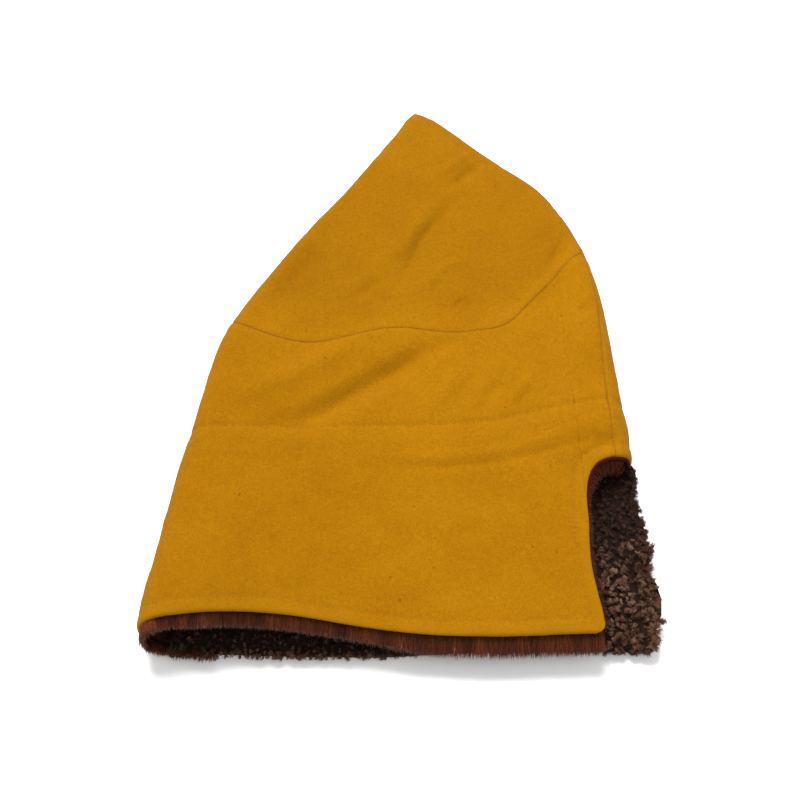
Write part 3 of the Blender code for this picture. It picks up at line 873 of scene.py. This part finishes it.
def curled_locks(roots, ways, draw, look):
    """Lines of curled strands: from each root grows one lock, gathered towards its tip."""
    count, each = len(roots), look["each"]
    stations = look["stations"]
    ways = unit(ways + look["unruly"] * np.clip(draw.normal(size=(count, 3)), -1.5, 1.5))
    first, second = across_of(ways, draw)
    s = np.linspace(0, 1, stations)
    theta = draw.uniform(0, math.tau, (count, each))
    away = look["spread"] * np.sqrt(draw.uniform(0, 1, (count, each)))
    lengths = look["length"] * draw.uniform(0.75, 1.2, (count, 1))
    lengths = lengths * draw.uniform(0.75, 1.1, (count, each))
    turns = draw.uniform(*look["turns"], (count, 1)) * np.sign(draw.normal(size=(count, 1)))
    phase = draw.uniform(0, math.tau, (count, 1)) + draw.normal(0, 0.7, (count, each))
    curl = look["curl"] * draw.uniform(0.6, 1.2, (count, each))
    gather = 1 - look["gather"] * s**1.3
    wave = phase[..., None] + math.tau * turns[..., None] * s
    radius = curl[..., None] * s**0.8
    u = (away * np.cos(theta))[..., None] * gather + radius * np.cos(wave)
    v = (away * np.sin(theta))[..., None] * gather + radius * np.sin(wave)
    u -= (radius * np.cos(wave))[..., :1]
    v -= (radius * np.sin(wave))[..., :1]
    w = lengths[..., None] * s
    lines = (
        roots[:, None, None]
        + u[..., None] * first[:, None, None]
        + v[..., None] * second[:, None, None]
        + w[..., None] * ways[:, None, None]
    )
    sag = look["sag"] * (lengths[..., None] * s**2)
    lines[..., 2] -= sag
    lines = lines.reshape(count * each, stations, 3)
    taper = look["radius"] * (1.0 - 0.75 * s**1.5)
    radii = taper * draw.uniform(0.8, 1.2, (count * each, 1))
    shade = 0.4 * draw.uniform(0, 1, (count, 1)) + draw.uniform(-0.1, 0.8, (count, each))
    pale = draw.uniform(*look["pale"], (count, 1)) + draw.normal(0, 0.30, (count, each))
    values = {"shade": np.clip(shade, 0, 1).ravel(), "pale": np.clip(pale, 0, 1).ravel()}
    return lines, radii, values


def on_grid(grid, row, column, key="outer"):
    """Points of a grid between its places: row and column are fractional indexes."""
    i = np.clip(np.floor(row).astype(int), 0, grid[key].shape[0] - 2)
    j = np.clip(np.floor(column).astype(int), 0, grid[key].shape[1] - 2)
    a = (row - i)[:, None]
    b = (column - j)[:, None]
    near = grid[key][i, j] * (1 - b) + grid[key][i, j + 1] * b
    far = grid[key][i + 1, j] * (1 - b) + grid[key][i + 1, j + 1] * b
    return near * (1 - a) + far * a


def grid_place(grid, along, column):
    """Fractional row and column of the grid at which these places on the cloth lie."""
    rows = np.zeros(len(along))
    columns = np.zeros(len(along))
    all_rows = np.arange(grid["along"].shape[0])
    all_columns = np.arange(grid["along"].shape[1])
    for k, (t, c) in enumerate(zip(along, column)):
        i = grid["foot"]
        for _ in range(3):
            j = np.interp(c, grid["column"][int(round(i))], all_columns)
            i = np.interp(t, grid["along"][:, int(round(j))], all_rows)
        rows[k], columns[k] = i, j
    return rows, columns


def spaced(places, count, spacing):
    """Indexes of places that keep a spacing, and of others where those are too few."""
    kept = [0]
    passed = []
    for k in range(1, len(places)):
        near = np.linalg.norm(places[kept] - places[k], axis=1).min() < spacing
        (passed if near else kept).append(k)
    return (kept + passed)[:count]


def scatter(grid, keep, count, draw):
    """Places drawn evenly over part of a grid's inner skin, with the ways that it faces."""
    skin = grid["inner"]
    middle = 0.25 * (skin[:-1, :-1] + skin[1:, :-1] + skin[:-1, 1:] + skin[1:, 1:])
    sides = np.cross(skin[1:, :-1] - skin[:-1, :-1], skin[:-1, 1:] - skin[:-1, :-1])
    area = np.linalg.norm(sides, axis=-1) * keep(middle[..., 0], middle[..., 1])
    area[: grid["foot"], : grid["leg"]] = 0.0
    tries = 5 * count
    chosen = draw.choice(area.size, size=tries, p=(area / area.sum()).ravel())
    i, j = np.unravel_index(chosen, area.shape)
    row = i + draw.uniform(0, 1, tries)
    column = j + draw.uniform(0, 1, tries)
    places = on_grid(grid, row, column, "inner")
    kept = spaced(places, count, 0.80 * math.sqrt(float(area.sum()) / count))
    return places[kept], -unit(on_grid(grid, row[kept], column[kept], "normals"))


# Fur: how far its core stands past the hem, and the looks and numbers of its strands. A strand
# whose pale value falls below nought has no paler tip.
HEM_PAST = {"right": -0.0016, "left": 0.0008}
CORE_STEP = 0.0034
FUR_SEED = 5
FLAP_LOOK = {"each": 9, "stations": 6, "length": 0.0046, "spread": 0.0014, "gather": 0.25,
             "curl": 0.0013, "turns": (0.7, 1.5), "unruly": 0.70, "sag": 0.05,
             "radius": 0.00031, "pale": (-0.60, 0.75)}
LIP_LOOK = {"each": 9, "stations": 6, "length": 0.0034, "spread": 0.0013, "gather": 0.30,
            "curl": 0.0012, "turns": (0.6, 1.3), "unruly": 0.35, "sag": 0.05,
            "radius": 0.00028, "pale": (-0.70, 0.45)}
INSIDE_LOOK = {"each": 6, "stations": 5, "length": 0.0045, "spread": 0.0026, "gather": 0.75,
               "curl": 0.0010, "turns": (0.5, 1.0), "unruly": 0.40, "sag": 0.10,
               "radius": 0.00034, "pale": (-2.0, -1.0)}
FLAP_LOCKS = 560
FLAP_RIM_LOCKS = 215
LIP_LOCKS = 320
LIP_RIM_LOCKS = 260
INSIDE_LOCKS = 260

# Combed fur under the upper hem and in the notch. One strand in FRINGE_STRAY has the pale
# value STRAY_TAN, so high that it is tan for most of its length.
FRINGE_STRANDS = {"right": 5600, "left": 700}
FRINGE_FROM = 0.0035
FRINGE_TURN = 0.030
FRINGE_STRAY = 450
FRINGE_LENGTH = 0.0108
FRINGE_SUNK = (0.0034, 0.0060)
FOLD_FROM = -0.145
FOLD_WIDE = 0.018
NOTCH_STRANDS = 2500
NOTCH_PILE = 0.0070
NOTCH_PILE_PAST = 0.026
NOTCH_LONGER_FROM = 0.095
STRIP_RADIUS = 0.00026
STRIP_STATIONS = 5
STRAY_TAN = 300

# Which fur lies where: the flap's from its left and to its back, turning outward past its
# outer line, the inside's from behind the hem, and the lower hem's to its right and back
FLAP_LEFT = 0.108
FLAP_BACK = 0.116
FLAP_OUTER = 0.146
INSIDE_FRONT = 0.012
LIP_RIGHT = 0.112
LIP_BACK = 0.014

# Where the flap's curls are paler; how much darker the flap's curls are drawn further back, under the
# upper layer, as painted shade; and how much darker the notch's strands are drawn towards the hem, as
# painted shade
PALE_SPOTS = ((0.138, 0.041), (0.142, 0.032), (0.138, 0.053), (0.151, 0.068))
PALE_REACH = 0.0045
FLAP_SHADE = {"y": (0.04, 0.085), "share": (1.0, 0.15)}
NOTCH_SHADE = {"y": (0.03, 0.08), "share": (0.2, 1.0)}

# How far back the lower hem's fur stands, across the hat
LIP_SHIFT = {"x": (-0.165, -0.150, -0.100, -0.060, -0.010, 0.020, 0.100, 0.115),
             "back": (-0.0012, -0.0012, -0.0008, -0.0003, 0.0010, 0.0030, 0.0020, 0.0)}

# How far the flap's pile stands out over its free edge, by its place along the hat
FLAP_SPREAD = {
    "y": (-0.008, 0.005, 0.012, 0.018, 0.032, 0.039, 0.045, 0.052, 0.059, 0.074, 0.081, 0.088,
          0.095, 0.103, 0.110, 0.118, 0.126, 0.132),
    "out": (0.0080, 0.0150, 0.0190, 0.0205, 0.0215, 0.0210, 0.0165, 0.0150, 0.0200, 0.0190,
            0.0165, 0.0155, 0.0140, 0.0115, 0.0100, 0.0070, 0.0040, 0.0),
}
FLAP_TOP = 0.011


def over_flap_edge(points):
    """The points, moved out over the lower layer's free edge where they lie beside the notch."""
    x, y, z = np.moveaxis(points, -1, 0)
    low = FLAP_EDGE_RISE + 0.0016
    up = np.clip((z - low) / (FLAP_TOP - low), 0, 1)
    beside = eased((x - 0.138) / 0.012) * (z < FLAP_TOP + 0.003)
    moved = points.copy()
    moved[..., 0] += np.interp(y, FLAP_SPREAD["y"], FLAP_SPREAD["out"]) * up * beside
    return moved


def with_rim(roots, ways, grid, rows, columns, count, way, draw):
    """The roots and ways, and after them places along a rim of a grid, at any depth in it."""
    k = draw.uniform(0, len(rows) - 1.001, count)
    at = np.arange(len(rows))
    row, column = np.interp(k, at, rows), np.interp(k, at, columns)
    deep = draw.uniform(0.15, 1.0, count)[:, None]
    outer = on_grid(grid, row, column, "outer")
    rim = outer + (on_grid(grid, row, column, "inner") - outer) * deep
    return np.concatenate([roots, rim]), np.concatenate([ways, np.broadcast_to(way, rim.shape)])


def straight_strands(roots, ways, lengths, draw):
    """Lines of combed strands, each with a slight wave and a bend at its end."""
    count = len(roots)
    s = np.linspace(0, 1, STRIP_STATIONS)
    first, second = across_of(ways, draw)
    wave = 0.00035 * np.sin(math.tau * (0.8 * s + draw.uniform(0, 1, (count, 1))))
    wave -= wave[:, :1]
    bend = draw.normal(0, 0.0007, (count, 1)) * s**2
    lines = roots[:, None] + ways[:, None] * (lengths[:, None] * s)[..., None]
    lines = lines + first[:, None] * wave[..., None] + second[:, None] * bend[..., None]
    radii = STRIP_RADIUS * (1 - 0.6 * s**2) * draw.uniform(0.8, 1.25, (count, 1))
    return lines, radii


def joined(sets):
    """Each part of the sets, such as their lines and their radii, put together."""
    return [np.concatenate(parts) for parts in zip(*sets)]


def cloth_panels():
    """The four panels of cloth, and their grids by the node that each stands for."""
    wool = wool_material()
    pieces, grids = {}, {}
    for side in ("right", "left"):
        for part in ("skirt", "crown"):
            is_skirt = part == "skirt"
            grid = skirt_grid(side, crown_along) if is_skirt else crown_grid(side)
            height, edges, seams = cloth_relief(grid, is_skirt)
            to_end = np.linalg.norm(grid["points"] - grid["points"][-1:].mean(axis=(0, 1)), axis=-1)
            depth = np.minimum(CLOTH, 0.35 * to_end)
            depth = np.minimum(depth, CLOTH - 0.5 * TURNED_DROP * hump(edges, TURNED))
            shades = {
                # painted highlight near the hem and the notch's edge
                "edge": 0.55 * hump(edges, 0.0045),
                "seam": 0.48 * hump(seams, 0.0007),
                # painted shade over the crown and down the left
                "painted_shade": painted_shade_share(grid),
            }
            node = part + "_" + side
            pieces[node] = wall(node + "_cloth", grid, height, depth, wool, shades)
            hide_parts(node)
            grids[node] = grid
    return pieces, grids


def pile_cores():
    """The matted core of each half of the pile, and their grids by name."""
    material = core_material()
    pieces, cores = {}, {}
    for side in ("right", "left"):
        name = "pile_" + side
        core = skirt_grid(side, lining_along, HEM_PAST[side], CORE_STEP)
        lumps = ripples(core["points"], 0.008, 31) + 0.7 * ripples(core["points"], 0.004, 32)
        depth = CORE_PILE * (1 + 0.14 * lumps)
        move = over_flap_edge if side == "left" else None
        pieces[name] = wall(name, core, np.full(depth.shape, -BACKING), depth, material, {}, move)
        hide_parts("fur_lining")
        cores[name] = core
    return pieces, cores


def flap_fur(core, hem, material, draw):
    """Curls on the lower layer beside the notch, and along its free edge."""
    leg, foot = core["leg"], core["foot"]
    roots, ways = scatter(core, lambda x, y: (x > FLAP_LEFT) & (y < FLAP_BACK), FLAP_LOCKS, draw)
    outward = np.clip((roots[:, 0] - FLAP_OUTER) / 0.012, 0, 1)[:, None]
    frontward = np.clip((hem + 0.006 - roots[:, 1]) / 0.008, 0, 1)[:, None]
    ways = ways * (1 - 0.6 * outward) + outward * (0.6, 0.0, 0.25) + frontward * (0.0, -0.7, 0.1)
    beyond = np.arange(leg, round(0.35 * leg), -1)
    rows = np.concatenate([np.arange(foot), np.full(len(beyond), foot)])
    columns = np.concatenate([np.full(foot, leg), beyond])
    roots, ways = with_rim(roots, ways, core, rows, columns, FLAP_RIM_LOCKS, (0.85, 0, 0.3), draw)
    lines, radii, values = curled_locks(roots, unit(ways), draw, FLAP_LOOK)
    # Painted shade: curls further back, under the upper layer, are drawn darker
    lit = np.interp(roots[:, 1], FLAP_SHADE["y"], FLAP_SHADE["share"])
    paler = 0.9 * sum(hump(np.hypot(*(roots[:, :2] - spot).T), PALE_REACH) for spot in PALE_SPOTS)
    lit, paler = np.repeat([lit, paler], FLAP_LOOK["each"], axis=1)
    values = {key: value * lit + paler for key, value in values.items()}
    return strand_mesh("flap_fur", lines, radii, material, values)


def lower_hem_fur(core, hem, material, draw):
    """Curls along the lower layer's hem, drawn darker further in under the hem as painted shade."""
    roots, ways = scatter(core, lambda x, y: (x < LIP_RIGHT) & (y < hem + LIP_BACK), LIP_LOCKS, draw)
    frontward = np.clip((hem + 0.007 - roots[:, 1]) / 0.007, 0, 1)[:, None]
    ways = ways * (1 - 0.5 * frontward) + frontward * (0.0, -0.8, 0.0)
    across = np.arange(core["leg"], core["along"].shape[1])
    rows = np.zeros(len(across))
    roots, ways = with_rim(roots, ways, core, rows, across, LIP_RIM_LOCKS, (0, -0.8, 0.35), draw)
    roots[:, 1] += np.interp(roots[:, 0], LIP_SHIFT["x"], LIP_SHIFT["back"])
    lines, radii, values = curled_locks(roots, unit(ways), draw, LIP_LOOK)
    # Painted shade: curls further in under the hem are drawn darker
    shade = np.interp(roots[:, 1], (hem + 0.001, hem + 0.005), (0.6, 0.0))
    values["shade"] *= np.repeat(shade, LIP_LOOK["each"])
    return strand_mesh("lower_hem_fur", lines, radii, material, values)


def inside_fur(cores, hem, material, draw):
    """Curls on both halves of the pile, inside the hat, drawn darker as painted shade."""
    sets = []
    for core in cores.values():
        roots, ways = scatter(core, lambda x, y: y > hem + INSIDE_FRONT, INSIDE_LOCKS, draw)
        lines, radii, values = curled_locks(roots, ways, draw, INSIDE_LOOK)
        sets.append((lines, radii, values["shade"], values["pale"]))
    lines, radii, shade, pale = joined(sets)
    # Painted shade: the curls' tone and pale tips are cut to three tenths
    return strand_mesh("inside_fur", lines, radii, material, {"shade": 0.3 * shade, "pale": 0.3 * pale})


def upper_hem_fur(grids, material, draw):
    """Combed fur under the upper hem, which turns a little round the left fold."""
    sets = []
    for side, strands in FRINGE_STRANDS.items():
        grid = grids["skirt_" + side]
        leg = grid["leg"]
        hem_way = lengths_along(grid["points"][0, leg:])
        from_way = FRINGE_FROM if side == "right" else hem_way[-1] - FRINGE_TURN
        first = leg + float(np.interp(from_way, hem_way, np.arange(len(hem_way))))
        column = draw.uniform(first, grid["along"].shape[1] - 1.001, strands)
        row = draw.uniform(0, 3.0, strands)
        under = on_grid(grid, row, column)
        at_fold = eased((FOLD_FROM - under[:, 0]) / FOLD_WIDE)
        sunk = draw.uniform(*FRINGE_SUNK, strands) * (1 - 0.65 * at_fold)
        inward = -unit(on_grid(grid, row, column, "normals"))
        roots = under + inward * sunk[:, None]
        ways = inward * (0.62 * (1 - 0.6 * at_fold))[:, None] + (0.0, -0.95, 0.0)
        ways = unit(ways + 0.09 * draw.normal(size=roots.shape))
        lengths = FRINGE_LENGTH * draw.uniform(0.88, 1.05, strands) - 0.5 * (sunk - FRINGE_SUNK[0])
        lengths *= 1 + 0.40 * eased((under[:, 0] + 0.03) / 0.05)
        lengths *= 1 - 0.15 * eased((-0.120 - under[:, 0]) / 0.03)
        lines, radii = straight_strands(roots, ways, lengths, draw)
        tone = 0.5 + 0.4 * ripples(roots, 0.012, 41) + draw.normal(0, 0.22, strands)
        pale = np.clip(draw.uniform(-0.2, 0.9, strands), 0, 1)
        pale[draw.choice(strands, strands // FRINGE_STRAY)] = STRAY_TAN
        sets.append((lines, radii, np.clip(tone, 0, 1), pale))
    lines, radii, tone, pale = joined(sets)
    return strand_mesh("upper_hem_fur", lines, radii, material, {"shade": tone, "pale": pale})


def notch_fur(edge, normals, into, seam_way, material, draw):
    """Combed fur that stands into the notch, from its hem to a little past the seam."""
    way_along = lengths_along(edge)
    at = draw.uniform(0, way_along[-1], NOTCH_STRANDS)
    at = at[at < seam_way + NOTCH_PILE_PAST]
    spot, inward, across = (on_line(at, way_along, part) for part in (edge, normals, into))
    inward = -unit(inward)
    count = len(spot)
    sunk = draw.uniform(0.0024, 0.0060, count)
    roots = spot + inward * sunk[:, None] - across * draw.uniform(0.0, 0.0015, count)[:, None]
    ways = unit(inward * 0.75 + across * 0.62 + 0.14 * draw.normal(size=roots.shape))
    lengths = NOTCH_PILE * draw.uniform(0.75, 1.1, count)
    lengths *= 1 + 0.7 * eased((spot[:, 1] - NOTCH_LONGER_FROM) / 0.02)
    lines, radii = straight_strands(roots, ways, lengths, draw)
    # Painted shade: strands nearer the hem are drawn darker
    lit = np.interp(spot[:, 1], NOTCH_SHADE["y"], NOTCH_SHADE["share"])
    shade = np.clip(0.45 + draw.normal(0, 0.25, count), 0, 1) * lit
    pale = np.clip(draw.uniform(-0.5, 0.6, count), 0, 1) * lit
    return strand_mesh("notch_fur", lines, radii, material, {"shade": shade, "pale": pale})


def build():
    """Every piece of the hat, by the node that it stands for or by its own name."""
    pieces, grids = cloth_panels()
    pile, cores = pile_cores()
    curls = pile_material("brown_fur_curls", CURL_DARK, CURL_MIDDLE, CURL_TIP, CURL_FADE)
    strip = pile_material("brown_fur_edge", STRIP_DARK, STRIP_MIDDLE, STRIP_TIP, STRIP_FADE)
    draw = np.random.default_rng(FUR_SEED)
    core = cores["pile_left"]
    hem = float(core["points"][0, :, 1].min())
    edge, normals, into, seam_way = notch_edge(grids)
    fur = (
        flap_fur(core, hem, curls, draw),
        lower_hem_fur(core, hem, curls, draw),
        inside_fur(cores, hem, curls, draw),
        upper_hem_fur(grids, strip, draw),
        notch_fur(edge, normals, into, seam_way, strip, draw),
    )
    for piece in fur:
        pile[piece.name] = piece
    bound = (edge[:, 1] > BINDING_FROM) & (lengths_along(edge) < seam_way + BINDING_PAST)
    binding = ribbon_tube("notch_edging", edge[bound], normals[bound], into[bound])
    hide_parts("notch_binding")
    stitches = sew(grids)
    pieces = {**pieces, **pile, "notch_edging": binding, "stitches": stitches}
    declare_sheets({**grids, **cores})
    return pieces


def cut_size(grid):
    """Width, length and area of the flat cut that a panel was made from."""
    points = grid["points"]
    steps = np.cross(points[1:, :-1] - points[:-1, :-1], points[:-1, 1:] - points[:-1, :-1])
    area = np.linalg.norm(steps, axis=-1)
    area[: grid["foot"], : grid["leg"]] = 0.0
    width = float(grid["round"].max())
    length = float(np.ptp(grid["y"]))
    return (width, length), min(float(area.sum()), width * length)


def declare_sheets(grids):
    """Works out the flat cut size and area of each cloth panel and each fur-lining half, and keeps
    nothing.
    """
    for name, grid in grids.items():
        flat, area = cut_size(grid)


# Step along the notch's edge, and a place in the middle of the notch
NOTCH_STEP = 0.001
NOTCH_MIDDLE = (0.152, 0.080, 0.020)


def notch_edge(grids):
    """The notch's edge from the hem round the arch: points, normals and ways into the notch."""
    right, left = grids["skirt_right"], grids["skirt_left"]
    parts = []
    for key in ("outer", "normals"):
        up_leg = right[key][3 : right["foot"], right["leg"]]
        over = right[key][right["foot"], right["leg"] :: -1]
        beyond = left[key][left["foot"], 1 : left["leg"] + 1]
        parts.append(np.concatenate([up_leg, over, beyond]))
    way = lengths_along(parts[0])
    at = np.linspace(0, way[-1], round(way[-1] / NOTCH_STEP))
    edge, normals = (softened(on_line(at, way, part), 6) for part in parts)
    normals = unit(normals)
    tangent = unit(np.gradient(edge, axis=0))
    into = unit(np.cross(normals, tangent))
    towards = np.array(NOTCH_MIDDLE) - edge
    into *= np.sign((into * towards).sum(axis=-1, keepdims=True))
    seam_way = way[len(up_leg) + len(over) - 1]
    return edge, normals, into, seam_way


# The maroon edging: where it starts and how far past the seam it runs, how far it is set in and
# down from the edge, and half its width and height
BINDING_SIDES = 10
BINDING_FROM = 0.086
BINDING_PAST = 0.025
BINDING_IN = 0.0007
BINDING_DOWN = 0.0012
BINDING_HALF = (0.0010, 0.0014)


def ribbon_tube(name, edge, normals, into):
    """Flattened tube that follows an edge, a little inside it and below."""
    middle = softened(edge, 4) + into * BINDING_IN - normals * BINDING_DOWN
    turn = math.tau * np.arange(BINDING_SIDES) / BINDING_SIDES
    ends = np.minimum(np.arange(len(edge)), np.arange(len(edge))[::-1])
    taper = np.clip((ends + 0.3) / 3, 0, 1)[:, None, None] ** 0.5
    ring = into[:, None] * (BINDING_HALF[0] * np.cos(turn))[:, None]
    ring = ring + normals[:, None] * (BINDING_HALF[1] * np.sin(turn))[:, None]
    points = middle[:, None] + ring * taper
    index = np.arange(points.shape[0] * BINDING_SIDES).reshape(-1, BINDING_SIDES)
    faces = [tube_sides(index), np.stack([index[0][::-1], index[-1]])]
    return mesh_piece(name, points.reshape(-1, 3), faces, binding_material())


# Stitches, and how far apart and how near a seam those of the plain seams lie
STITCH_HALF = 0.0011
STITCH_RADIUS = 0.00023
STITCH_SIDES = 5
SEAM_PITCH = 0.0042
BESIDE_SEAM = 0.0024
UNDER_SEAM = 0.0009


def stitch_rings(places, ways, normals):
    """Short threads, one for each place, whose ends dip into the cloth."""
    across = unit(np.cross(ways, normals))
    turn = math.tau * np.arange(STITCH_SIDES) / STITCH_SIDES
    rings = []
    for reach, size, dip in ((-1.0, 0.3, 1.6), (-0.5, 1.0, 0.2), (0.5, 1.0, 0.2), (1.0, 0.3, 1.6)):
        middle = places + ways * (reach * STITCH_HALF) - normals * (dip * STITCH_RADIUS)
        ring = across[:, None] * np.cos(turn)[:, None] + normals[:, None] * np.sin(turn)[:, None]
        rings.append(middle[:, None] + ring * (size * STITCH_RADIUS))
    return np.stack(rings, axis=1)


def beside_notch(grid):
    """Places on the cloth, as shares and columns, that lie NOTCH_BAND from the notch's edge."""
    away = notch_distance(grid)
    hem = hem_along(grid["column"], grid["side"]) * HAT_LENGTH
    places = []
    for i in range(grid["along"].shape[0]):
        past = np.nonzero((away[i, :-1] < NOTCH_BAND) & (away[i, 1:] >= NOTCH_BAND))[0]
        if len(past) and grid["y"][i, past[-1]] - hem[i, past[-1]] > HEM_BAND:
            j = past[-1]
            share = (NOTCH_BAND - away[i, j]) / (away[i, j + 1] - away[i, j])
            mix = lambda name: grid[name][i, j] * (1 - share) + grid[name][i, j + 1] * share
            places.append((mix("along"), mix("column")))
    along, column = np.array(places).T
    return along, column


def sew(grids):
    """All rows of stitches, as one piece."""
    rows = []
    steps = np.linspace(0, 1, 400)
    for side in ("right", "left"):
        skirt = grids["skirt_" + side]
        way = WAY_ROUND[side]
        beside = float(np.interp(BESIDE_SEAM, way, FINE_COLUMNS))
        full = np.linspace(0.1, COLUMNS - 0.1, 400)
        rows.append((skirt, lining_along(full), full, LINING_GROOVE["pitch"]))
        leg = float(leg_column(np.array([0.03]), side)[0])
        leg_way = np.interp(leg, FINE_COLUMNS, way)
        inner = float(np.interp(leg_way + NOTCH_BAND, way, FINE_COLUMNS))
        hem_columns = inner + (COLUMNS - 0.1 - inner) * steps
        rows.append((
            skirt,
            hem_along(hem_columns, side) + HEM_BAND / HAT_LENGTH,
            hem_columns,
            HEM_GROOVE["pitch"],
        ))
        rows.append((skirt, *beside_notch(skirt), NOTCH_GROOVE["pitch"]))
        low = (NOTCH_SPRING + NOTCH_ARCH) / HAT_LENGTH + 0.004
        high = float(crown_along(np.array([beside]))[0]) - 0.004
        seam = np.linspace(low, high, 400)
        rows.append((skirt, seam, np.full(400, beside), SEAM_PITCH))
        crown = grids["crown_" + side]
        seam = np.linspace(high + 0.012, 0.965, 300)
        rows.append((crown, seam, np.full(300, beside), SEAM_PITCH))
        rows.append((skirt, crown_along(full) - UNDER_SEAM / HAT_LENGTH, full, SEAM_PITCH))
    all_rings = []
    for grid, along, column, pitch in rows:
        row, place = grid_place(grid, along, column)
        line = on_grid(grid, row, place)
        way = lengths_along(line)
        at = np.arange(0.5 * pitch, way[-1], pitch)
        centre = on_line(at, way, line)
        normal = unit(on_grid(grid, np.interp(at, way, row), np.interp(at, way, place), "normals"))
        ahead = on_line(at + 0.0008, way, line)
        all_rings.append(stitch_rings(centre, unit(ahead - centre), normal))
    rings = np.concatenate(all_rings)
    index = np.arange(rings[..., 0].size).reshape(rings.shape[:3])
    faces = [tube_sides(index), np.concatenate([index[:, 0, ::-1], index[:, -1]])]
    return mesh_piece("stitches", rings.reshape(-1, 3), faces, thread_material())


# Floor, light and camera
FLOOR_HALF = 3.0
FLOOR_DROP = 0.0002
CAMERA_TARGET = (-0.0016, -0.0343, 0.0)
CAMERA_DISTANCE = 0.915
CAMERA_ELEVATION = 60
CAMERA_LENS = 58
PALE = (0.90, 0.90, 0.90)
LIGHTS = (
    ("key", (-0.5, 1.7, 3.0), 1.7, 190.0),
    ("fill", (0.9, -1.2, 3.2), 2.4, 28.0),
)
WORLD_LIGHT = 0.70


def floor():
    """A plain pale floor, a hair under the hat."""
    material, tree, shader = nodes_of("pale_floor")
    speckle = ramp(tree, noise(tree, 40, 2), ((0.3, PALE), (0.7, tuple(c * 1.01 for c in PALE))))
    finish(tree, shader, speckle, 0.9)
    mesh = bpy.data.meshes.new("floor")
    corners = [(x, y, 0.0) for x, y in ((-1, -1), (1, -1), (1, 1), (-1, 1))]
    mesh.from_pydata([(x * FLOOR_HALF, y * FLOOR_HALF, z) for x, y, z in corners], [], [(0, 1, 2, 3)])
    mesh.materials.append(material)
    ground = bpy.data.objects.new("floor", mesh)
    ground.location.z = -FLOOR_DROP
    bpy.context.scene.collection.objects.link(ground)


def look_at(obj, target):
    """Turns a lamp or the camera towards a place."""
    obj.rotation_euler = (Vector(target) - obj.location).to_track_quat("-Z", "Y").to_euler()


def light_and_camera():
    """Two soft lamps, an even white sky and the camera."""
    for name, place, size, power in LIGHTS:
        data = bpy.data.lights.new(name, "AREA")
        data.shape = "DISK"
        data.size = size
        data.energy = power
        lamp = bpy.data.objects.new(name, data)
        lamp.location = place
        bpy.context.scene.collection.objects.link(lamp)
        look_at(lamp, (0, 0, 0))
    world = bpy.data.worlds.new("studio")
    world.use_nodes = True
    background = world.node_tree.nodes["Background"]
    background.inputs["Color"].default_value = (1.0, 1.0, 1.0, 1.0)
    background.inputs["Strength"].default_value = WORLD_LIGHT
    scene = bpy.context.scene
    scene.world = world
    scene.view_settings.view_transform = "Standard"
    data = bpy.data.cameras.new("camera")
    data.lens = CAMERA_LENS
    data.sensor_width = 36
    camera = bpy.data.objects.new("camera", data)
    rise = math.radians(CAMERA_ELEVATION)
    away = Vector((0, -math.cos(rise), math.sin(rise))) * CAMERA_DISTANCE
    camera.location = Vector(CAMERA_TARGET) + away
    scene.collection.objects.link(camera)
    look_at(camera, CAMERA_TARGET)
    scene.camera = camera


for piece in build().values():
    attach(piece, "root")
floor()
light_and_camera()
